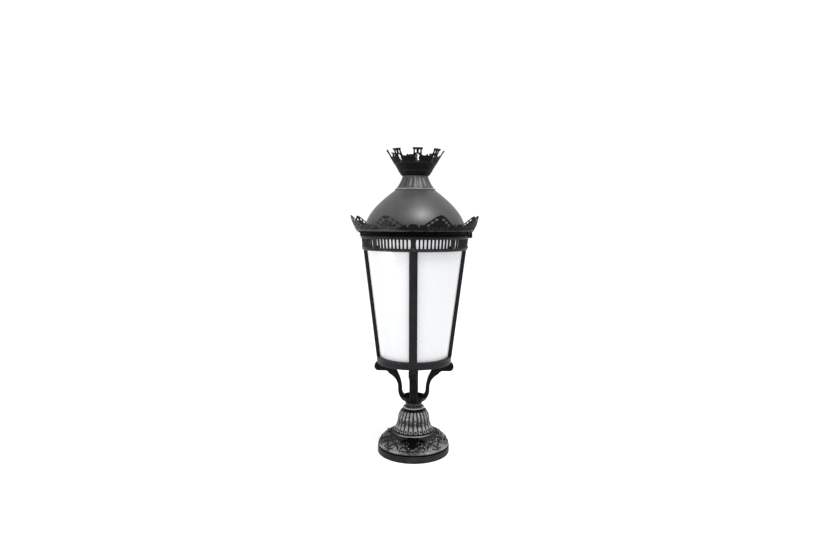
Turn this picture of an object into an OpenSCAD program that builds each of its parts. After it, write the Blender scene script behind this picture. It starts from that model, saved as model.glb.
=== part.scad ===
// Street light: a crowned post-top lantern on an S-armed yoke, a gadrooned bell and a round foot.
// Millimetres, +Z up, origin at the centre of the foot's underside, the front looks along -Y.
// The hinge of the roof is on the +X side and its closing screw on the -X side.

/* [Overall] */

// full height from the ground to the tips of the crown; the glazed body takes up what is left
overall_h = 1207; // [1197:1:1219]
// wall of the hollow castings of the foot and bell
cast_wall = 8; // [7:0.5:9]

/* [Foot and bell] */

// diameter of the plinth
foot_d = 290; // [284:1:298]
// height of the foot up to the seat of the bell
foot_h = 82; // [78:1:88]
// height of the gadrooned bell
bell_h = 98; // [92:1:106]
// diameter over the lobes at the waist of the bell
bell_waist_d = 130; // [126:1:136]
// diameter over the lobes where they end at the skirt
bell_skirt_d = 166; // [161:1:169]
// diameter of the bright ring under the skirt
bell_ring_d = 176; // [174:1:180]
// number of lobes round the bell
lobe_count = 24; // [20:1:28]
// depth of the valleys between the lobes
lobe_depth = 4.2; // [3:0.1:5]
// pitch circle of the four tapped holes under the foot
bolt_circle_d = 230; // [224:1:234]
// tapping diameter of the M10 holes under the foot
bolt_hole_d = 8.5; // [8:0.1:9]

/* [Yoke] */

// height of the ring collar between the bell and the yoke
collar_h = 11; // [9:1:14]
// diameter of the bright lower bead of the collar
collar_d = 87; // [84:1:90]
// diameter of the neck of the yoke, a 60 mm post size plus its casting skin
neck_d = 64; // [62:1:68]
// height of the yoke from the collar to the lower ring
yoke_h = 178; // [171:1:187]
// width of each S-shaped arm
arm_w = 33; // [30:1:35]
// diameter over the bellies of the arms, where they leave the cup
belly_d = 127; // [123:1:131]
// diameter of the scroll at the end of each arm
scroll_d = 36; // [34:1:38]
// outside diameter of the threaded tube that clamps the castings
tube_d = 26; // [24:1:27]

/* [Glazed body] */

// outside diameter of the lower ring at its top
ring_d = 303; // [297:1:309]
// height of the lower ring
ring_h = 29; // [27:1:33]
// diameter over the bars just under the frieze
body_top_d = 406; // [400:1:410]
// width of each bar
bar_w = 31; // [29:1:33]
// depth of each bar
bar_t = 15; // [14:1:16]
// thickness of the opal panels
panel_t = 3; // [2.5:0.5:3]

/* [Frieze] */

// height of the pierced frieze
frieze_h = 57; // [54:1:60]
// slots in each of the eight bays
slots_per_bay = 10; // [8:1:12]
// width of a slot as a share of the slot pitch
slot_share = 0.5; // [0.4:0.01:0.6]

/* [Roof] */

// how far the cornice stands out from the frieze
cornice_out = 14.5; // [13:0.5:18]
// height of the lid ring
lid_h = 16; // [15:1:18]
// how far the leaf tips lean out from the cornice
leaf_out = 33; // [30:0.5:36]
// height of a leaf above the lid ring
leaf_h = 60; // [56:1:64]
// how far the foot of the dome stands back from the frieze
dome_back = 17.5; // [16:0.5:20]
// height of the dome
dome_h = 159; // [151:1:166]
// height of the fluted neck with its bead
neck_h = 54; // [50:1:58]
// diameter of the neck under the crown
neck_top_d = 101; // [97:1:105]
// number of flutes round the neck
flute_count = 16; // [12:1:20]
// height of the crown
crown_h = 99; // [95:1:104]
// diameter of the crown's wall at its foot
crown_foot_d = 108; // [105:1:112]
// diameter over the tower tips of the crown
crown_d = 226; // [218:1:232]
// turn of the crown about the post, as seen in the picture
crown_turn = 6; // [0:1:20]

/* [Lamp and gear] */

// diameter of the lamp bulb
bulb_d = 88; // [80:1:96]
// length of the lamp from its cap to its tip
bulb_l = 160; // [150:1:175]
// space between the reflector and the rim of the gear tray
reflector_in = 50.5; // [40:0.5:60]
// length of the ballast
ballast_l = 124; // [110:1:130]
// width of the ballast
ballast_w = 62; // [56:1:66]
// height of the ballast
ballast_h = 54; // [48:1:58]

/* [Hinge] */

// diameter of the hinge pin
pin_d = 5; // [4:0.5:6]
// width of the knuckle on the lid
knuckle_w = 23; // [20:1:26]

/* [Hidden] */

$fn = 96;
eps = 0.01;
gap = 0.3;
gasket_t = 1;
sheet_t = 2;

// heights of the seats, from the ground up
z_bell = foot_h;
z_collar = z_bell + bell_h;
z_yoke = z_collar + collar_h;
z_ring = z_yoke + yoke_h;
z_body = z_ring + ring_h;
// height from the lower ring to the frieze
body_h = overall_h - z_body - frieze_h - gasket_t - lid_h - dome_h - neck_h - crown_h;
z_frieze = z_body + body_h;
z_top = z_frieze + frieze_h;
z_lid = z_top + gasket_t;
z_dome = z_lid + lid_h;
z_neck = z_dome + dome_h;
z_crown = z_neck + neck_h;

// radii that pieces share
ring_r = ring_d / 2;
body_r = body_top_d / 2;
frieze_r = body_r + 11.5;
cornice_r = frieze_r + cornice_out;
leaf_r = cornice_r + leaf_out;
dome_r = frieze_r - dome_back;
tube_r = tube_d / 2;
tube_bore = tube_r + gap;
pin_r = pin_d / 2;
pin_bore = pin_r + 0.05;
knuckle_r = pin_r + 2.5;
hinge_x = frieze_r + knuckle_r + 1;
hinge_z = z_top - 2;
tray_r = frieze_r - 12.5;
ledge_r = tray_r - 7.5;
screw_r = 2.4;
stud_r = 5;
gland_r = 10;
bolt_r = 3;
bolt_x = ring_r - 6.3;
screw_z = z_frieze + 12;
lock_x = frieze_r - 5.5;
leaf_screw_x = cornice_r - 8;
tray_screw_x = tray_r - 3.8;

black = [0.10, 0.10, 0.11];
pewter = [0.33, 0.33, 0.34];
steel = [0.62, 0.63, 0.65];
white = [0.94, 0.94, 0.95];
rubber = [0.05, 0.05, 0.05];

// outer face of the bars at height z
function bar_r(z) = ring_r + (body_r - ring_r) * (z - z_body) / body_h;
// outer face of the opal panels at height z
function panel_r(z) = bar_r(z) - bar_t - gap;
function clamp01(t) = max(0, min(1, t));
// quarter-round ease from 0 to 1, used for the rounded ends of the lobes
function round_end(t) = sqrt(1 - pow(1 - clamp01(t), 2));

// closed solid from rings of n points, lowest first, with flat caps
module stack(rings, n) {
  k = len(rings);
  polyhedron(
    points = [for (ring = rings, p = ring) p],
    faces = concat(
      [for (j = [0:k - 2], i = [0:n - 1]) [j * n + i, (j + 1) * n + i, (j + 1) * n + (i + 1) % n]],
      [for (j = [0:k - 2], i = [0:n - 1]) [j * n + i, (j + 1) * n + (i + 1) % n, j * n + (i + 1) % n]],
      [[for (i = [0:n - 1]) i]],
      [[for (i = [n - 1:-1:0]) (k - 1) * n + i]]));
}

module tube_of(r_out, r_in, z0, h) {
  translate([0, 0, z0])
    difference() {
      cylinder(r = r_out, h = h);
      translate([0, 0, -1])
        cylinder(r = r_in, h = h + 2);
    }
}

// profile plate standing in the radial plane at angle a, w wide
module radial_plate(a, w, pts) {
  rotate([0, 0, a])
    translate([0, w / 2, 0])
      rotate([90, 0, 0])
        linear_extrude(height = w)
          polygon(pts);
}

// cutter drawn in the plane across the radius at angle a, from radius x0 to x1
module radial_cut(a, x0, x1, pts) {
  rotate([0, 0, a])
    translate([x0, 0, 0])
      rotate([90, 0, 90])
        linear_extrude(height = x1 - x0)
          polygon(pts);
}

// round hole along the radius
module radial_hole(a, x0, x1, z, r) {
  rotate([0, 0, a])
    translate([x0, 0, z])
      rotate([0, 90, 0])
        cylinder(r = r, h = x1 - x0, $fn = 24);
}

// The foot.

shoulder_z = 31;
relief_n = 144;
relief_rows = 11;

// rounded shoulder of the foot, without its ornament
function shoulder_r(z) =
  let (v = clamp01((z - shoulder_z) / (foot_h - shoulder_z)))
  bell_ring_d / 2 + 1 + (foot_d / 2 - bell_ring_d / 2 - 2) * pow(1 - pow(v, 1.6), 0.8);
// leaf work: ribs that fan out from the foot of each diagonal
function leaf_work(a, z) =
  let (v = clamp01((z - shoulder_z) / (foot_h - shoulder_z)))
  let (u = ((a + 360) % 90 - 45) / 45)
  let (b = atan2(u, v + 0.25))
  let (fade = clamp01((v - 0.12) / 0.15) * clamp01((0.97 - v) / 0.12) * (1 - pow(abs(u), 6)))
  2.2 * fade * cos(15 * b) - 0.8 * fade;
// heights of the rows: even steps along the shoulder
function relief_z(j) = shoulder_z + (foot_h - shoulder_z) * (1 - pow(1 - j / (relief_rows - 1), 1.15));

// smooth shield that stands proud of the leaf work over each arm
module shield(a) {
  r0 = bell_ring_d / 2;
  intersection() {
    radial_plate(a, 96, concat(
      [[r0 - 8, foot_h - 40]],
      [for (d = [32:-4:8]) [shoulder_r(foot_h - d) + 1.6, foot_h - d]],
      [[r0 + 19, foot_h + 3], [r0 + 14, foot_h + 5], [r0 + 9, foot_h + 4],
       [r0 + 4, foot_h - 2], [r0 - 8, foot_h - 6]]));
    radial_cut(a, r0 - 12, foot_d / 2, [
      [-3, foot_h - 27], [3, foot_h - 27], [24, foot_h - 17.5], [45, foot_h - 12.5],
      [46, foot_h - 10], [45, foot_h - 8], [32, foot_h - 3],
      [20, foot_h + 2], [10, foot_h + 4.8], [0, foot_h + 5.6], [-10, foot_h + 4.8], [-20, foot_h + 2],
      [-32, foot_h - 3], [-45, foot_h - 8], [-46, foot_h - 10], [-45, foot_h - 12.5],
      [-24, foot_h - 17.5]]);
  }
}

module foot() {
  cave_r = foot_d / 2 - cast_wall - 4;
  color(pewter)
    difference() {
      union() {
        rotate_extrude()
          polygon([[0, 0], [foot_d / 2 - 1.5, 0], [foot_d / 2, 1.5], [foot_d / 2, shoulder_z - 5],
                   [foot_d / 2 - 1, shoulder_z - 3.8], [foot_d / 2 - 3.6, shoulder_z - 3],
                   [foot_d / 2 - 3.6, shoulder_z - 1.8], [foot_d / 2 - 1.2, shoulder_z - 0.8],
                   [foot_d / 2 - 0.6, shoulder_z], [0, shoulder_z]]);
        stack([for (j = [0:relief_rows - 1])
          let (z = relief_z(j))
          [for (i = [0:relief_n - 1])
            let (a = 360 * i / relief_n)
            let (r = shoulder_r(z) + leaf_work(a, z))
            [r * cos(a), r * sin(a), z]]], relief_n);
        for (a = [0:90:270])
          shield(a);
      }
      difference() {
        rotate_extrude()
          polygon([[0, -1], [cave_r, -1], [cave_r, shoulder_z + 6], [cave_r - 12, shoulder_z + 16],
                   [cave_r - 32, foot_h - 20], [bell_ring_d / 2 - 15, foot_h - cast_wall],
                   [0, foot_h - cast_wall]]);
        for (a = [45:90:315])
          rotate([0, 0, a])
            translate([bolt_circle_d / 2, 0, 0])
              cylinder(r = 12, h = 60);
      }
      for (a = [45:90:315])
        rotate([0, 0, a])
          translate([bolt_circle_d / 2, 0, -1])
            cylinder(r = bolt_hole_d / 2, h = 23);
      translate([0, 0, foot_h - cast_wall - 1])
        cylinder(r = tube_bore, h = cast_wall + 2);
    }
}

// The bell.

lobe_steps = 8;
bell_n = lobe_count * lobe_steps;
skirt_z = z_bell + 4;
bell_cap_z = z_collar - 7;
bell_rows = [0, 0.016, 0.043, 0.085, 0.15, 0.225, 0.33, 0.48, 0.63, 0.76, 0.87, 0.94, 0.98, 1];

// outline of the bell over the crests of the lobes
function bell_r(z) =
  let (v = (z - z_bell) / bell_h)
  bell_waist_d / 2
  + (bell_skirt_d - bell_waist_d) / 2 * pow(max(0, (0.459 - v) / 0.378), 1.5)
  - (bell_waist_d - collar_d + 5) / 2 * pow(max(0, (v - 0.439) / 0.582), 2.6);
// radius of the gadrooned face: round lobes with rounded ends
function gadroon_r(i, z) =
  let (u = 2 * (i % lobe_steps) / lobe_steps - 1)
  let (arch = sqrt(1 - 0.97 * u * u))
  let (low = round_end((z - skirt_z - 4 * (1 - arch)) / 6))
  let (high = round_end((bell_cap_z - z - 3 * (1 - arch)) / 5))
  bell_r(z) - lobe_depth * (1 - arch) * min(low, high) - (1 - low) * 8 - (1 - high) * 4;

module bell() {
  color(pewter)
    difference() {
      union() {
        rotate_extrude()
          polygon([[0, z_bell], [bell_ring_d / 2 - 1.5, z_bell], [bell_ring_d / 2, z_bell + 1.2],
                   [bell_ring_d / 2, z_bell + 2.6], [bell_ring_d / 2 - 1.5, skirt_z], [0, skirt_z]]);
        stack([for (t = bell_rows)
          let (z = skirt_z + (bell_cap_z - skirt_z) * t)
          [for (i = [0:bell_n - 1])
            let (r = gadroon_r(i, z))
            [r * cos(360 * i / bell_n), r * sin(360 * i / bell_n), z]]], bell_n);
        translate([0, 0, bell_cap_z])
          cylinder(r = collar_d / 2 - 5, h = z_collar - bell_cap_z);
      }
      rotate_extrude()
        polygon([[0, z_bell - 1], [bell_r(skirt_z) - cast_wall - 14, z_bell - 1],
                 [bell_r(skirt_z) - cast_wall - 14, skirt_z + 4],
                 [bell_waist_d / 2 - cast_wall - 5, skirt_z + 26],
                 [bell_waist_d / 2 - cast_wall - 5, z_bell + 0.55 * bell_h],
                 [collar_d / 2 - cast_wall - 5, z_collar - 14], [0, z_collar - 14]]);
      translate([0, 0, z_collar - 16])
        cylinder(r = tube_bore, h = 20);
    }
}

// The collar, yoke and clamping tube.

module collar() {
  r = collar_d / 2;
  h = collar_h;
  color(pewter)
    difference() {
      rotate_extrude()
        polygon([[0, z_collar], [r - 2.5, z_collar], [r - 0.6, z_collar + 0.12 * h],
                 [r, z_collar + 0.26 * h], [r - 0.6, z_collar + 0.42 * h], [r - 2.5, z_collar + 0.56 * h],
                 [neck_d / 2 + 1, z_collar + 0.66 * h], [neck_d / 2 - 0.5, z_collar + 0.76 * h],
                 [neck_d / 2 - 0.5, z_yoke], [0, z_yoke]]);
      translate([0, 0, z_collar - 1])
        cylinder(r = tube_bore, h = h + 2);
    }
}

// height in the yoke as a share of its own height
function yoke_z(t) = z_yoke + yoke_h * t;
cup_h = 0.208 * yoke_h;
scroll_r = scroll_d / 2;
scroll_z = z_ring - scroll_r;
scroll_x = ring_r + 8.5 - scroll_r;
scroll_lo = z_ring - scroll_d;
belly_r = belly_d / 2;
steps = 12;

// outer line of an arm: a bowl, a rise that sweeps out under the ring, and a scroll at the end
arm_outer = concat(
  [for (i = [0:steps])
    let (t = 0.1 + 0.26 * i / steps)
    [belly_r * sqrt(1 - pow((0.36 - t) / 0.34, 2)), yoke_z(t)]],
  [for (i = [1:steps])
    let (s = i / steps)
    [belly_r + (scroll_x - 42 - belly_r) * pow(s, 3), yoke_z(0.36 + 0.375 * s)]],
  [[scroll_x - 37, scroll_lo - 4], [scroll_x - 29, scroll_lo]],
  [for (i = [0:11])
    let (a = -95 + 15 * i)
    [scroll_x + scroll_r * cos(a), scroll_z + scroll_r * sin(a)]]);
// inner line of an arm, from the ring back down into the cup
arm_inner = concat(
  [for (i = [0:steps])
    let (s = 1 - i / steps)
    [belly_r - 16.5 + (scroll_x - 29 - belly_r) * pow(s, 2.2), yoke_z(0.317 + 0.683 * s)]],
  [[belly_r - 20, yoke_z(0.27)], [belly_r - 26, yoke_z(0.215)], [30, yoke_z(0.13)], [30, yoke_z(0.1)]]);

module yoke() {
  r = neck_d / 2;
  color(black)
    difference() {
      union() {
        rotate_extrude()
          polygon([[0, z_yoke], [r - 1, z_yoke], [r + 0.5, z_yoke + 2], [r + 1, yoke_z(0.04)],
                   [r + 1.5, yoke_z(0.062)], [r + 6, yoke_z(0.083)], [r + 11, yoke_z(0.116)],
                   [r + 14.5, yoke_z(0.148)], [r + 17, yoke_z(0.17)],
                   [r + 19.5, z_yoke + cup_h - 2], [r + 18.5, z_yoke + cup_h], [0, z_yoke + cup_h]]);
        for (a = [0:90:270])
          radial_plate(a, arm_w, concat(arm_outer, [[scroll_x + 6, z_ring]], arm_inner));
      }
      rotate_extrude()
        polygon([[0, yoke_z(0.13)], [25, yoke_z(0.13)], [r + 7, yoke_z(0.16)],
                 [r + 14.5, z_yoke + cup_h + eps], [0, z_yoke + cup_h + eps]]);
      translate([0, 0, z_yoke - 1])
        cylinder(r = tube_bore, h = 40);
      for (a = [0:90:270])
        rotate([0, 0, a])
          translate([bolt_x, 0, 0]) {
            translate([0, 0, scroll_lo - 1])
              cylinder(r = bolt_r + gap, h = scroll_d + 2, $fn = 24);
            translate([0, 0, scroll_lo - 1])
              cylinder(r = 5.8, h = 11, $fn = 24);
          }
    }
}

module tie_tube() {
  color(steel)
    tube_of(tube_r, tube_r - 4, z_bell - cast_wall - 12, z_yoke + 0.13 * yoke_h + 24 - z_bell + cast_wall);
}

module tie_nuts() {
  color(steel)
    for (z = [z_bell - cast_wall - 8, yoke_z(0.13)])
      difference() {
        translate([0, 0, z])
          cylinder(r = tube_r + 7, h = 8, $fn = 6);
        translate([0, 0, z - 1])
          cylinder(r = tube_r + 0.05, h = 10);
      }
}

// The lower ring and bottom tray.

groove_z = z_body - 6;
groove_in = panel_r(groove_z) - panel_t - 0.5;
groove_out = panel_r(z_body) + 0.4;
tray_seat = z_ring + 6;
tray_hole = groove_in - 6.5;

module lower_ring() {
  color(black)
    difference() {
      rotate_extrude()
        polygon([[tray_hole - 9, z_ring], [ring_r - 4, z_ring], [ring_r - 2.6, z_ring + 1.5],
                 [ring_r, z_body - 1], [ring_r - 0.6, z_body], [groove_out, z_body],
                 [groove_out, groove_z], [groove_in, groove_z], [groove_in, z_body],
                 [tray_hole, z_body], [tray_hole, tray_seat], [tray_hole - 9, tray_seat]]);
      for (a = [0:90:270])
        rotate([0, 0, a])
          translate([bolt_x, 0, z_ring - 1])
            cylinder(r = bolt_r + gap, h = ring_h + 2, $fn = 24);
    }
}

module yoke_bolts() {
  color(steel)
    for (a = [0:90:270])
      rotate([0, 0, a])
        translate([bolt_x, 0, 0])
          union() {
            translate([0, 0, scroll_lo + 10])
              cylinder(r = bolt_r, h = scroll_d + ring_h + 6, $fn = 24);
            difference() {
              translate([0, 0, scroll_lo + 3])
                cylinder(r = 5, h = 7, $fn = 24);
              translate([0, 0, scroll_lo + 2])
                cylinder(r = 2.5, h = 5, $fn = 6);
            }
          }
}

module bottom_tray() {
  color(black)
    difference() {
      translate([0, 0, tray_seat])
        cylinder(r = tray_hole - gap, h = sheet_t);
      translate([0, 0, tray_seat - 1])
        cylinder(r = gland_r + gap, h = sheet_t + 2);
      for (a = [45:90:315])
        rotate([0, 0, a])
          translate([80, 0, tray_seat - 1])
            cylinder(r = 4, h = sheet_t + 2, $fn = 24);
    }
}

module cable_gland() {
  color(rubber)
    difference() {
      union() {
        translate([0, 0, tray_seat - 6])
          cylinder(r = gland_r + 5, h = 6, $fn = 6);
        translate([0, 0, tray_seat - 22])
          cylinder(r = gland_r + 1, h = 16);
        translate([0, 0, tray_seat])
          cylinder(r = gland_r, h = 12);
      }
      translate([0, 0, tray_seat - 23])
        cylinder(r = gland_r - 5, h = 36);
    }
}

module gland_nut() {
  color(rubber)
    difference() {
      translate([0, 0, tray_seat + sheet_t])
        cylinder(r = gland_r + 5, h = 5, $fn = 6);
      translate([0, 0, tray_seat + sheet_t - 1])
        cylinder(r = gland_r + 0.05, h = 7);
    }
}

// The bars and panels.

tongue_in = panel_r(z_frieze + 24) + 1.3;
tongue_out = body_r - 2.4;

module bar(a) {
  color(black)
    difference() {
      union() {
        radial_plate(a, bar_w, [
          [ring_r - bar_t, z_body], [ring_r - 3, z_body],
          [body_r - 3, z_frieze], [body_r - bar_t, z_frieze]]);
        radial_plate(a, bar_w - 9, [
          [ring_r - bar_t, z_body], [ring_r, z_body],
          [body_r, z_frieze], [body_r - bar_t, z_frieze]]);
        radial_plate(a, 20, [
          [tongue_in, z_frieze - 2], [tongue_out, z_frieze - 2],
          [tongue_out, z_frieze + 24], [tongue_in, z_frieze + 24]]);
      }
      rotate([0, 0, a])
        translate([bolt_x, 0, z_body - 1])
          cylinder(r = bolt_r + gap, h = 20, $fn = 24);
      radial_hole(a, tongue_in - 2, tongue_out + 2, screw_z, screw_r + gap);
    }
}

module bar_front() { bar(270); }
module bar_right() { bar(0); }
module bar_back() { bar(90); }
module bar_left() { bar(180); }

panel_top = z_top - 8.5;

// curved opal sheet between two bars; its side edges hide behind the bars
module panel(a) {
  lo = groove_z;
  color(white)
    rotate([0, 0, a + 1])
      rotate_extrude(angle = 88)
        polygon([[panel_r(lo) - panel_t, lo], [panel_r(lo), lo],
                 [panel_r(panel_top), panel_top], [panel_r(panel_top) - panel_t, panel_top]]);
}

module panel_front_right() { panel(270); }
module panel_back_right() { panel(0); }
module panel_back_left() { panel(90); }
module panel_front_left() { panel(180); }

// The frieze.

slot_lo = z_frieze + 0.21 * frieze_h;
slot_hi = z_top - 0.21 * frieze_h;
slot_pitch = 45 / (slots_per_bay + 1);
slot_w = frieze_r * sin(slot_pitch) * slot_share;
wall_lo = frieze_r - 8;
wall_hi = frieze_r - 4.2;
seat_out = 1.2;

module frieze_ring() {
  color(black)
    difference() {
      union() {
        rotate_extrude()
          polygon([[panel_r(z_frieze + 6) + 0.8, z_frieze], [body_r + 2, z_frieze],
                   [wall_lo + 1.3, z_frieze + 2.5], [wall_lo + 1.3, z_frieze + 7],
                   [wall_lo - 0.3, z_frieze + 9], [wall_lo, slot_lo - 2],
                   [wall_hi, slot_hi + 0.8], [frieze_r - 1.5, slot_hi + 3],
                   [frieze_r, slot_hi + 5], [frieze_r, z_top - 3], [frieze_r - 1.5, z_top],
                   [tray_r + gap, z_top], [tray_r + gap, z_top - 8], [ledge_r, z_top - 8],
                   [ledge_r, slot_hi + 0.5], [wall_hi - 5, slot_hi - 1.5], [wall_lo - 5, slot_lo - 2],
                   [wall_lo - 5, z_frieze + 6], [panel_r(z_frieze + 6) + 0.8, z_frieze + 6]]);
        for (y = [-1, 1])
          translate([0, y * (knuckle_w / 2 + 4 + gap), 0]) {
            translate([hinge_x, 4, hinge_z])
              rotate([90, 0, 0])
                cylinder(r = knuckle_r, h = 8, $fn = 32);
            translate([frieze_r - 6, -4, hinge_z - knuckle_r - 2])
              cube([hinge_x - frieze_r + 6, 8, knuckle_r + 3]);
          }
        for (a = [0:45:315])
          rotate([0, 0, a])
            translate([wall_lo - 3, 0, screw_z])
              rotate([0, 90, 0])
                cylinder(r = 5.4, h = 3 + seat_out, $fn = 24);
      }
      for (b = [0:7], k = [1:slots_per_bay])
        rotate([0, 0, 45 * b + k * slot_pitch])
          translate([frieze_r - 18, -slot_w / 2, slot_lo])
            cube([24, slot_w, slot_hi - slot_lo]);
      for (a = [0:45:315])
        radial_hole(a, frieze_r - 20, frieze_r + 4, screw_z, screw_r + gap);
      for (a = [0:90:270])
        rotate([0, 0, a])
          translate([tongue_in - gap, -10 - gap, z_frieze - 1])
            cube([tongue_out - tongue_in + 2 * gap, 20 + 2 * gap, 8]);
      for (a = [45:90:315])
        rotate([0, 0, a])
          translate([tray_screw_x, 0, z_top - 14])
            cylinder(r = screw_r + gap, h = 10, $fn = 24);
      translate([hinge_x, 40, hinge_z])
        rotate([90, 0, 0])
          cylinder(r = pin_bore, h = 80, $fn = 32);
      translate([-lock_x, 0, z_top - 11])
        cylinder(r = bolt_r + 0.6, h = 20, $fn = 24);
    }
}

// pan-head screws, one in each post of the frieze
module frieze_screws() {
  head_x = wall_lo + seat_out;
  color(steel)
    for (a = [0:45:315])
      union() {
        radial_hole(a, tongue_in + 1, head_x + 1, screw_z, screw_r);
        rotate([0, 0, a])
          translate([head_x, 0, screw_z])
            rotate([0, 90, 0])
              rotate_extrude($fn = 24)
                polygon([[0, 0], [4.5, 0], [4.5, 1.4], [3.2, 2.6], [0, 3]]);
      }
}

// blocks behind the four posts between the bars: each holds the middle of a panel
module panel_clips() {
  color(black)
    for (a = [45:90:315])
      difference() {
        rotate([0, 0, a])
          translate([panel_r(z_frieze + 24) + gap, -7, z_frieze + 6])
            cube([wall_lo - 5.6 - panel_r(z_frieze + 24) - gap, 14, 14]);
        radial_hole(a, tongue_in - 10, tongue_out + 4, screw_z, screw_r + gap);
      }
}

// The gear tray, lamp and control gear.

tray_z = z_top - 8;

module gear_tray() {
  color(white)
    difference() {
      translate([0, 0, tray_z])
        cylinder(r = tray_r, h = sheet_t);
      translate([0, 0, tray_z - 1])
        cylinder(r = 12, h = sheet_t + 2);
      for (a = [45:90:315])
        rotate([0, 0, a])
          translate([tray_screw_x, 0, tray_z - 1])
            cylinder(r = screw_r + gap, h = sheet_t + 2, $fn = 24);
    }
}

module tray_screws() {
  color(steel)
    for (a = [45:90:315])
      rotate([0, 0, a])
        translate([tray_screw_x, 0, tray_z])
          union() {
            translate([0, 0, -3.5])
              cylinder(r = screw_r, h = 6.5, $fn = 24);
            translate([0, 0, sheet_t])
              cylinder(r = 2.6, h = 2.5, $fn = 24);
          }
}

module reflector() {
  r = tray_r - reflector_in;
  color(white)
    rotate_extrude()
      polygon([[32, tray_z - 1.5], [0.4 * r, tray_z - 1.5], [r - 1.5, tray_z - 17], [r, tray_z - 16],
               [0.4 * r + 0.5, tray_z], [32, tray_z]]);
}

module lamp_holder() {
  color(white)
    difference() {
      union() {
        translate([0, 0, tray_z - 62])
          cylinder(r = 27, h = 44);
        translate([0, 0, tray_z - 18])
          cylinder(r = 22, h = 18);
      }
      translate([0, 0, tray_z - 63])
        cylinder(r = 20.5, h = 45);
    }
}

module lamp_cap() {
  color(steel)
    translate([0, 0, tray_z - 60])
      union() {
        cylinder(r = 19.5, h = 34);
        translate([0, 0, 34])
          cylinder(r1 = 19.5, r2 = 8, h = 6);
      }
}

module lamp_glass() {
  top = tray_z - 60;
  r = bulb_d / 2;
  neck_l = bulb_l - 2 * r;
  color(white)
    rotate_extrude()
      polygon(concat([[0, top]],
        [for (i = [0:7])
          let (t = i / 8)
          [18.5 + (r - 18.5) * (0.5 - 0.5 * cos(180 * t)), top - neck_l * t]],
        [for (i = [0:12])
          let (a = 90 * i / 12)
          [r * cos(a), top - neck_l - 2 * r * sin(a)]]));
}

module ballast() {
  color(black)
    translate([-ballast_l / 2, -16 - ballast_w, tray_z + sheet_t])
      cube([ballast_l, ballast_w, ballast_h]);
}

module ignitor() {
  color(steel)
    translate([-48, 52, tray_z + sheet_t])
      cylinder(r = 18, h = 72);
}

module capacitor() {
  color(white)
    translate([20, 56, tray_z + sheet_t])
      cylinder(r = 20, h = 86);
}

module terminal_block() {
  color(white)
    difference() {
      translate([72, 10, tray_z + sheet_t])
        cube([24, 66, 20]);
      for (i = [0:4])
        translate([84, 17 + 13 * i, tray_z + sheet_t + 8])
          cylinder(r = 3, h = 14, $fn = 24);
    }
}

module lid_gasket() {
  color(rubber)
    tube_of(tray_r + 3.2, tray_r + 0.8, z_top, gasket_t);
}

// The roof, which swings on the hinge.

module hinge_pin() {
  w = knuckle_w + 2 * gap + 16;
  color(steel)
    translate([hinge_x, 0, hinge_z])
      rotate([90, 0, 0])
        union() {
          cylinder(r = pin_r, h = w + 2, center = true, $fn = 32);
          for (s = [-1, 1])
            translate([0, 0, s * (w / 2 + 1.3)])
              cylinder(r = pin_r + 1.5, h = 2, center = true, $fn = 32);
        }
}

module lid_ring() {
  color(black)
    difference() {
      union() {
        rotate_extrude()
          polygon([[dome_r - 7, z_lid], [frieze_r - 1.5, z_lid], [frieze_r - 1, z_lid + 3],
                   [frieze_r + 3.5, z_lid + 0.5 * lid_h], [cornice_r - 3, z_lid + 0.82 * lid_h],
                   [cornice_r, z_lid + 0.9 * lid_h], [cornice_r, z_dome], [dome_r - 7, z_dome]]);
        translate([hinge_x, knuckle_w / 2, hinge_z])
          rotate([90, 0, 0])
            cylinder(r = knuckle_r, h = knuckle_w, $fn = 32);
        translate([hinge_x - knuckle_r, -knuckle_w / 2, hinge_z])
          cube([2 * knuckle_r, knuckle_w, z_dome - hinge_z - 2]);
      }
      translate([hinge_x, 40, hinge_z])
        rotate([90, 0, 0])
          cylinder(r = pin_bore, h = 80, $fn = 32);
      translate([-lock_x, 0, z_lid - 1])
        cylinder(r = bolt_r + gap, h = lid_h + 2, $fn = 24);
      for (a = [22.5:45:337.5])
        rotate([0, 0, a])
          translate([leaf_screw_x, 0, z_lid - 1])
            cylinder(r = screw_r + gap, h = lid_h + 2, $fn = 24);
    }
}

// flared face of the cresting at height t above the lid ring
function crest_r(t) =
  cornice_r + leaf_out * (0.36 * pow(t / leaf_h, 0.45) + 0.64 * pow(t / leaf_h, 1.4));
// top edge of the cresting: angle from the middle of the low scroll, height share of a leaf
crest_edge = [[0, 0.46], [2.6, 0.45], [3.9, 0.4], [4.4, 0.3], [4.6, 0.25], [5.6, 0.25], [6.0, 0.47],
              [6.6, 0.46], [7.2, 0.385], [8.6, 0.385], [11, 0.5], [14, 0.655], [17, 0.81],
              [19, 0.905], [20.6, 0.965], [22.5, 1]];

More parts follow.
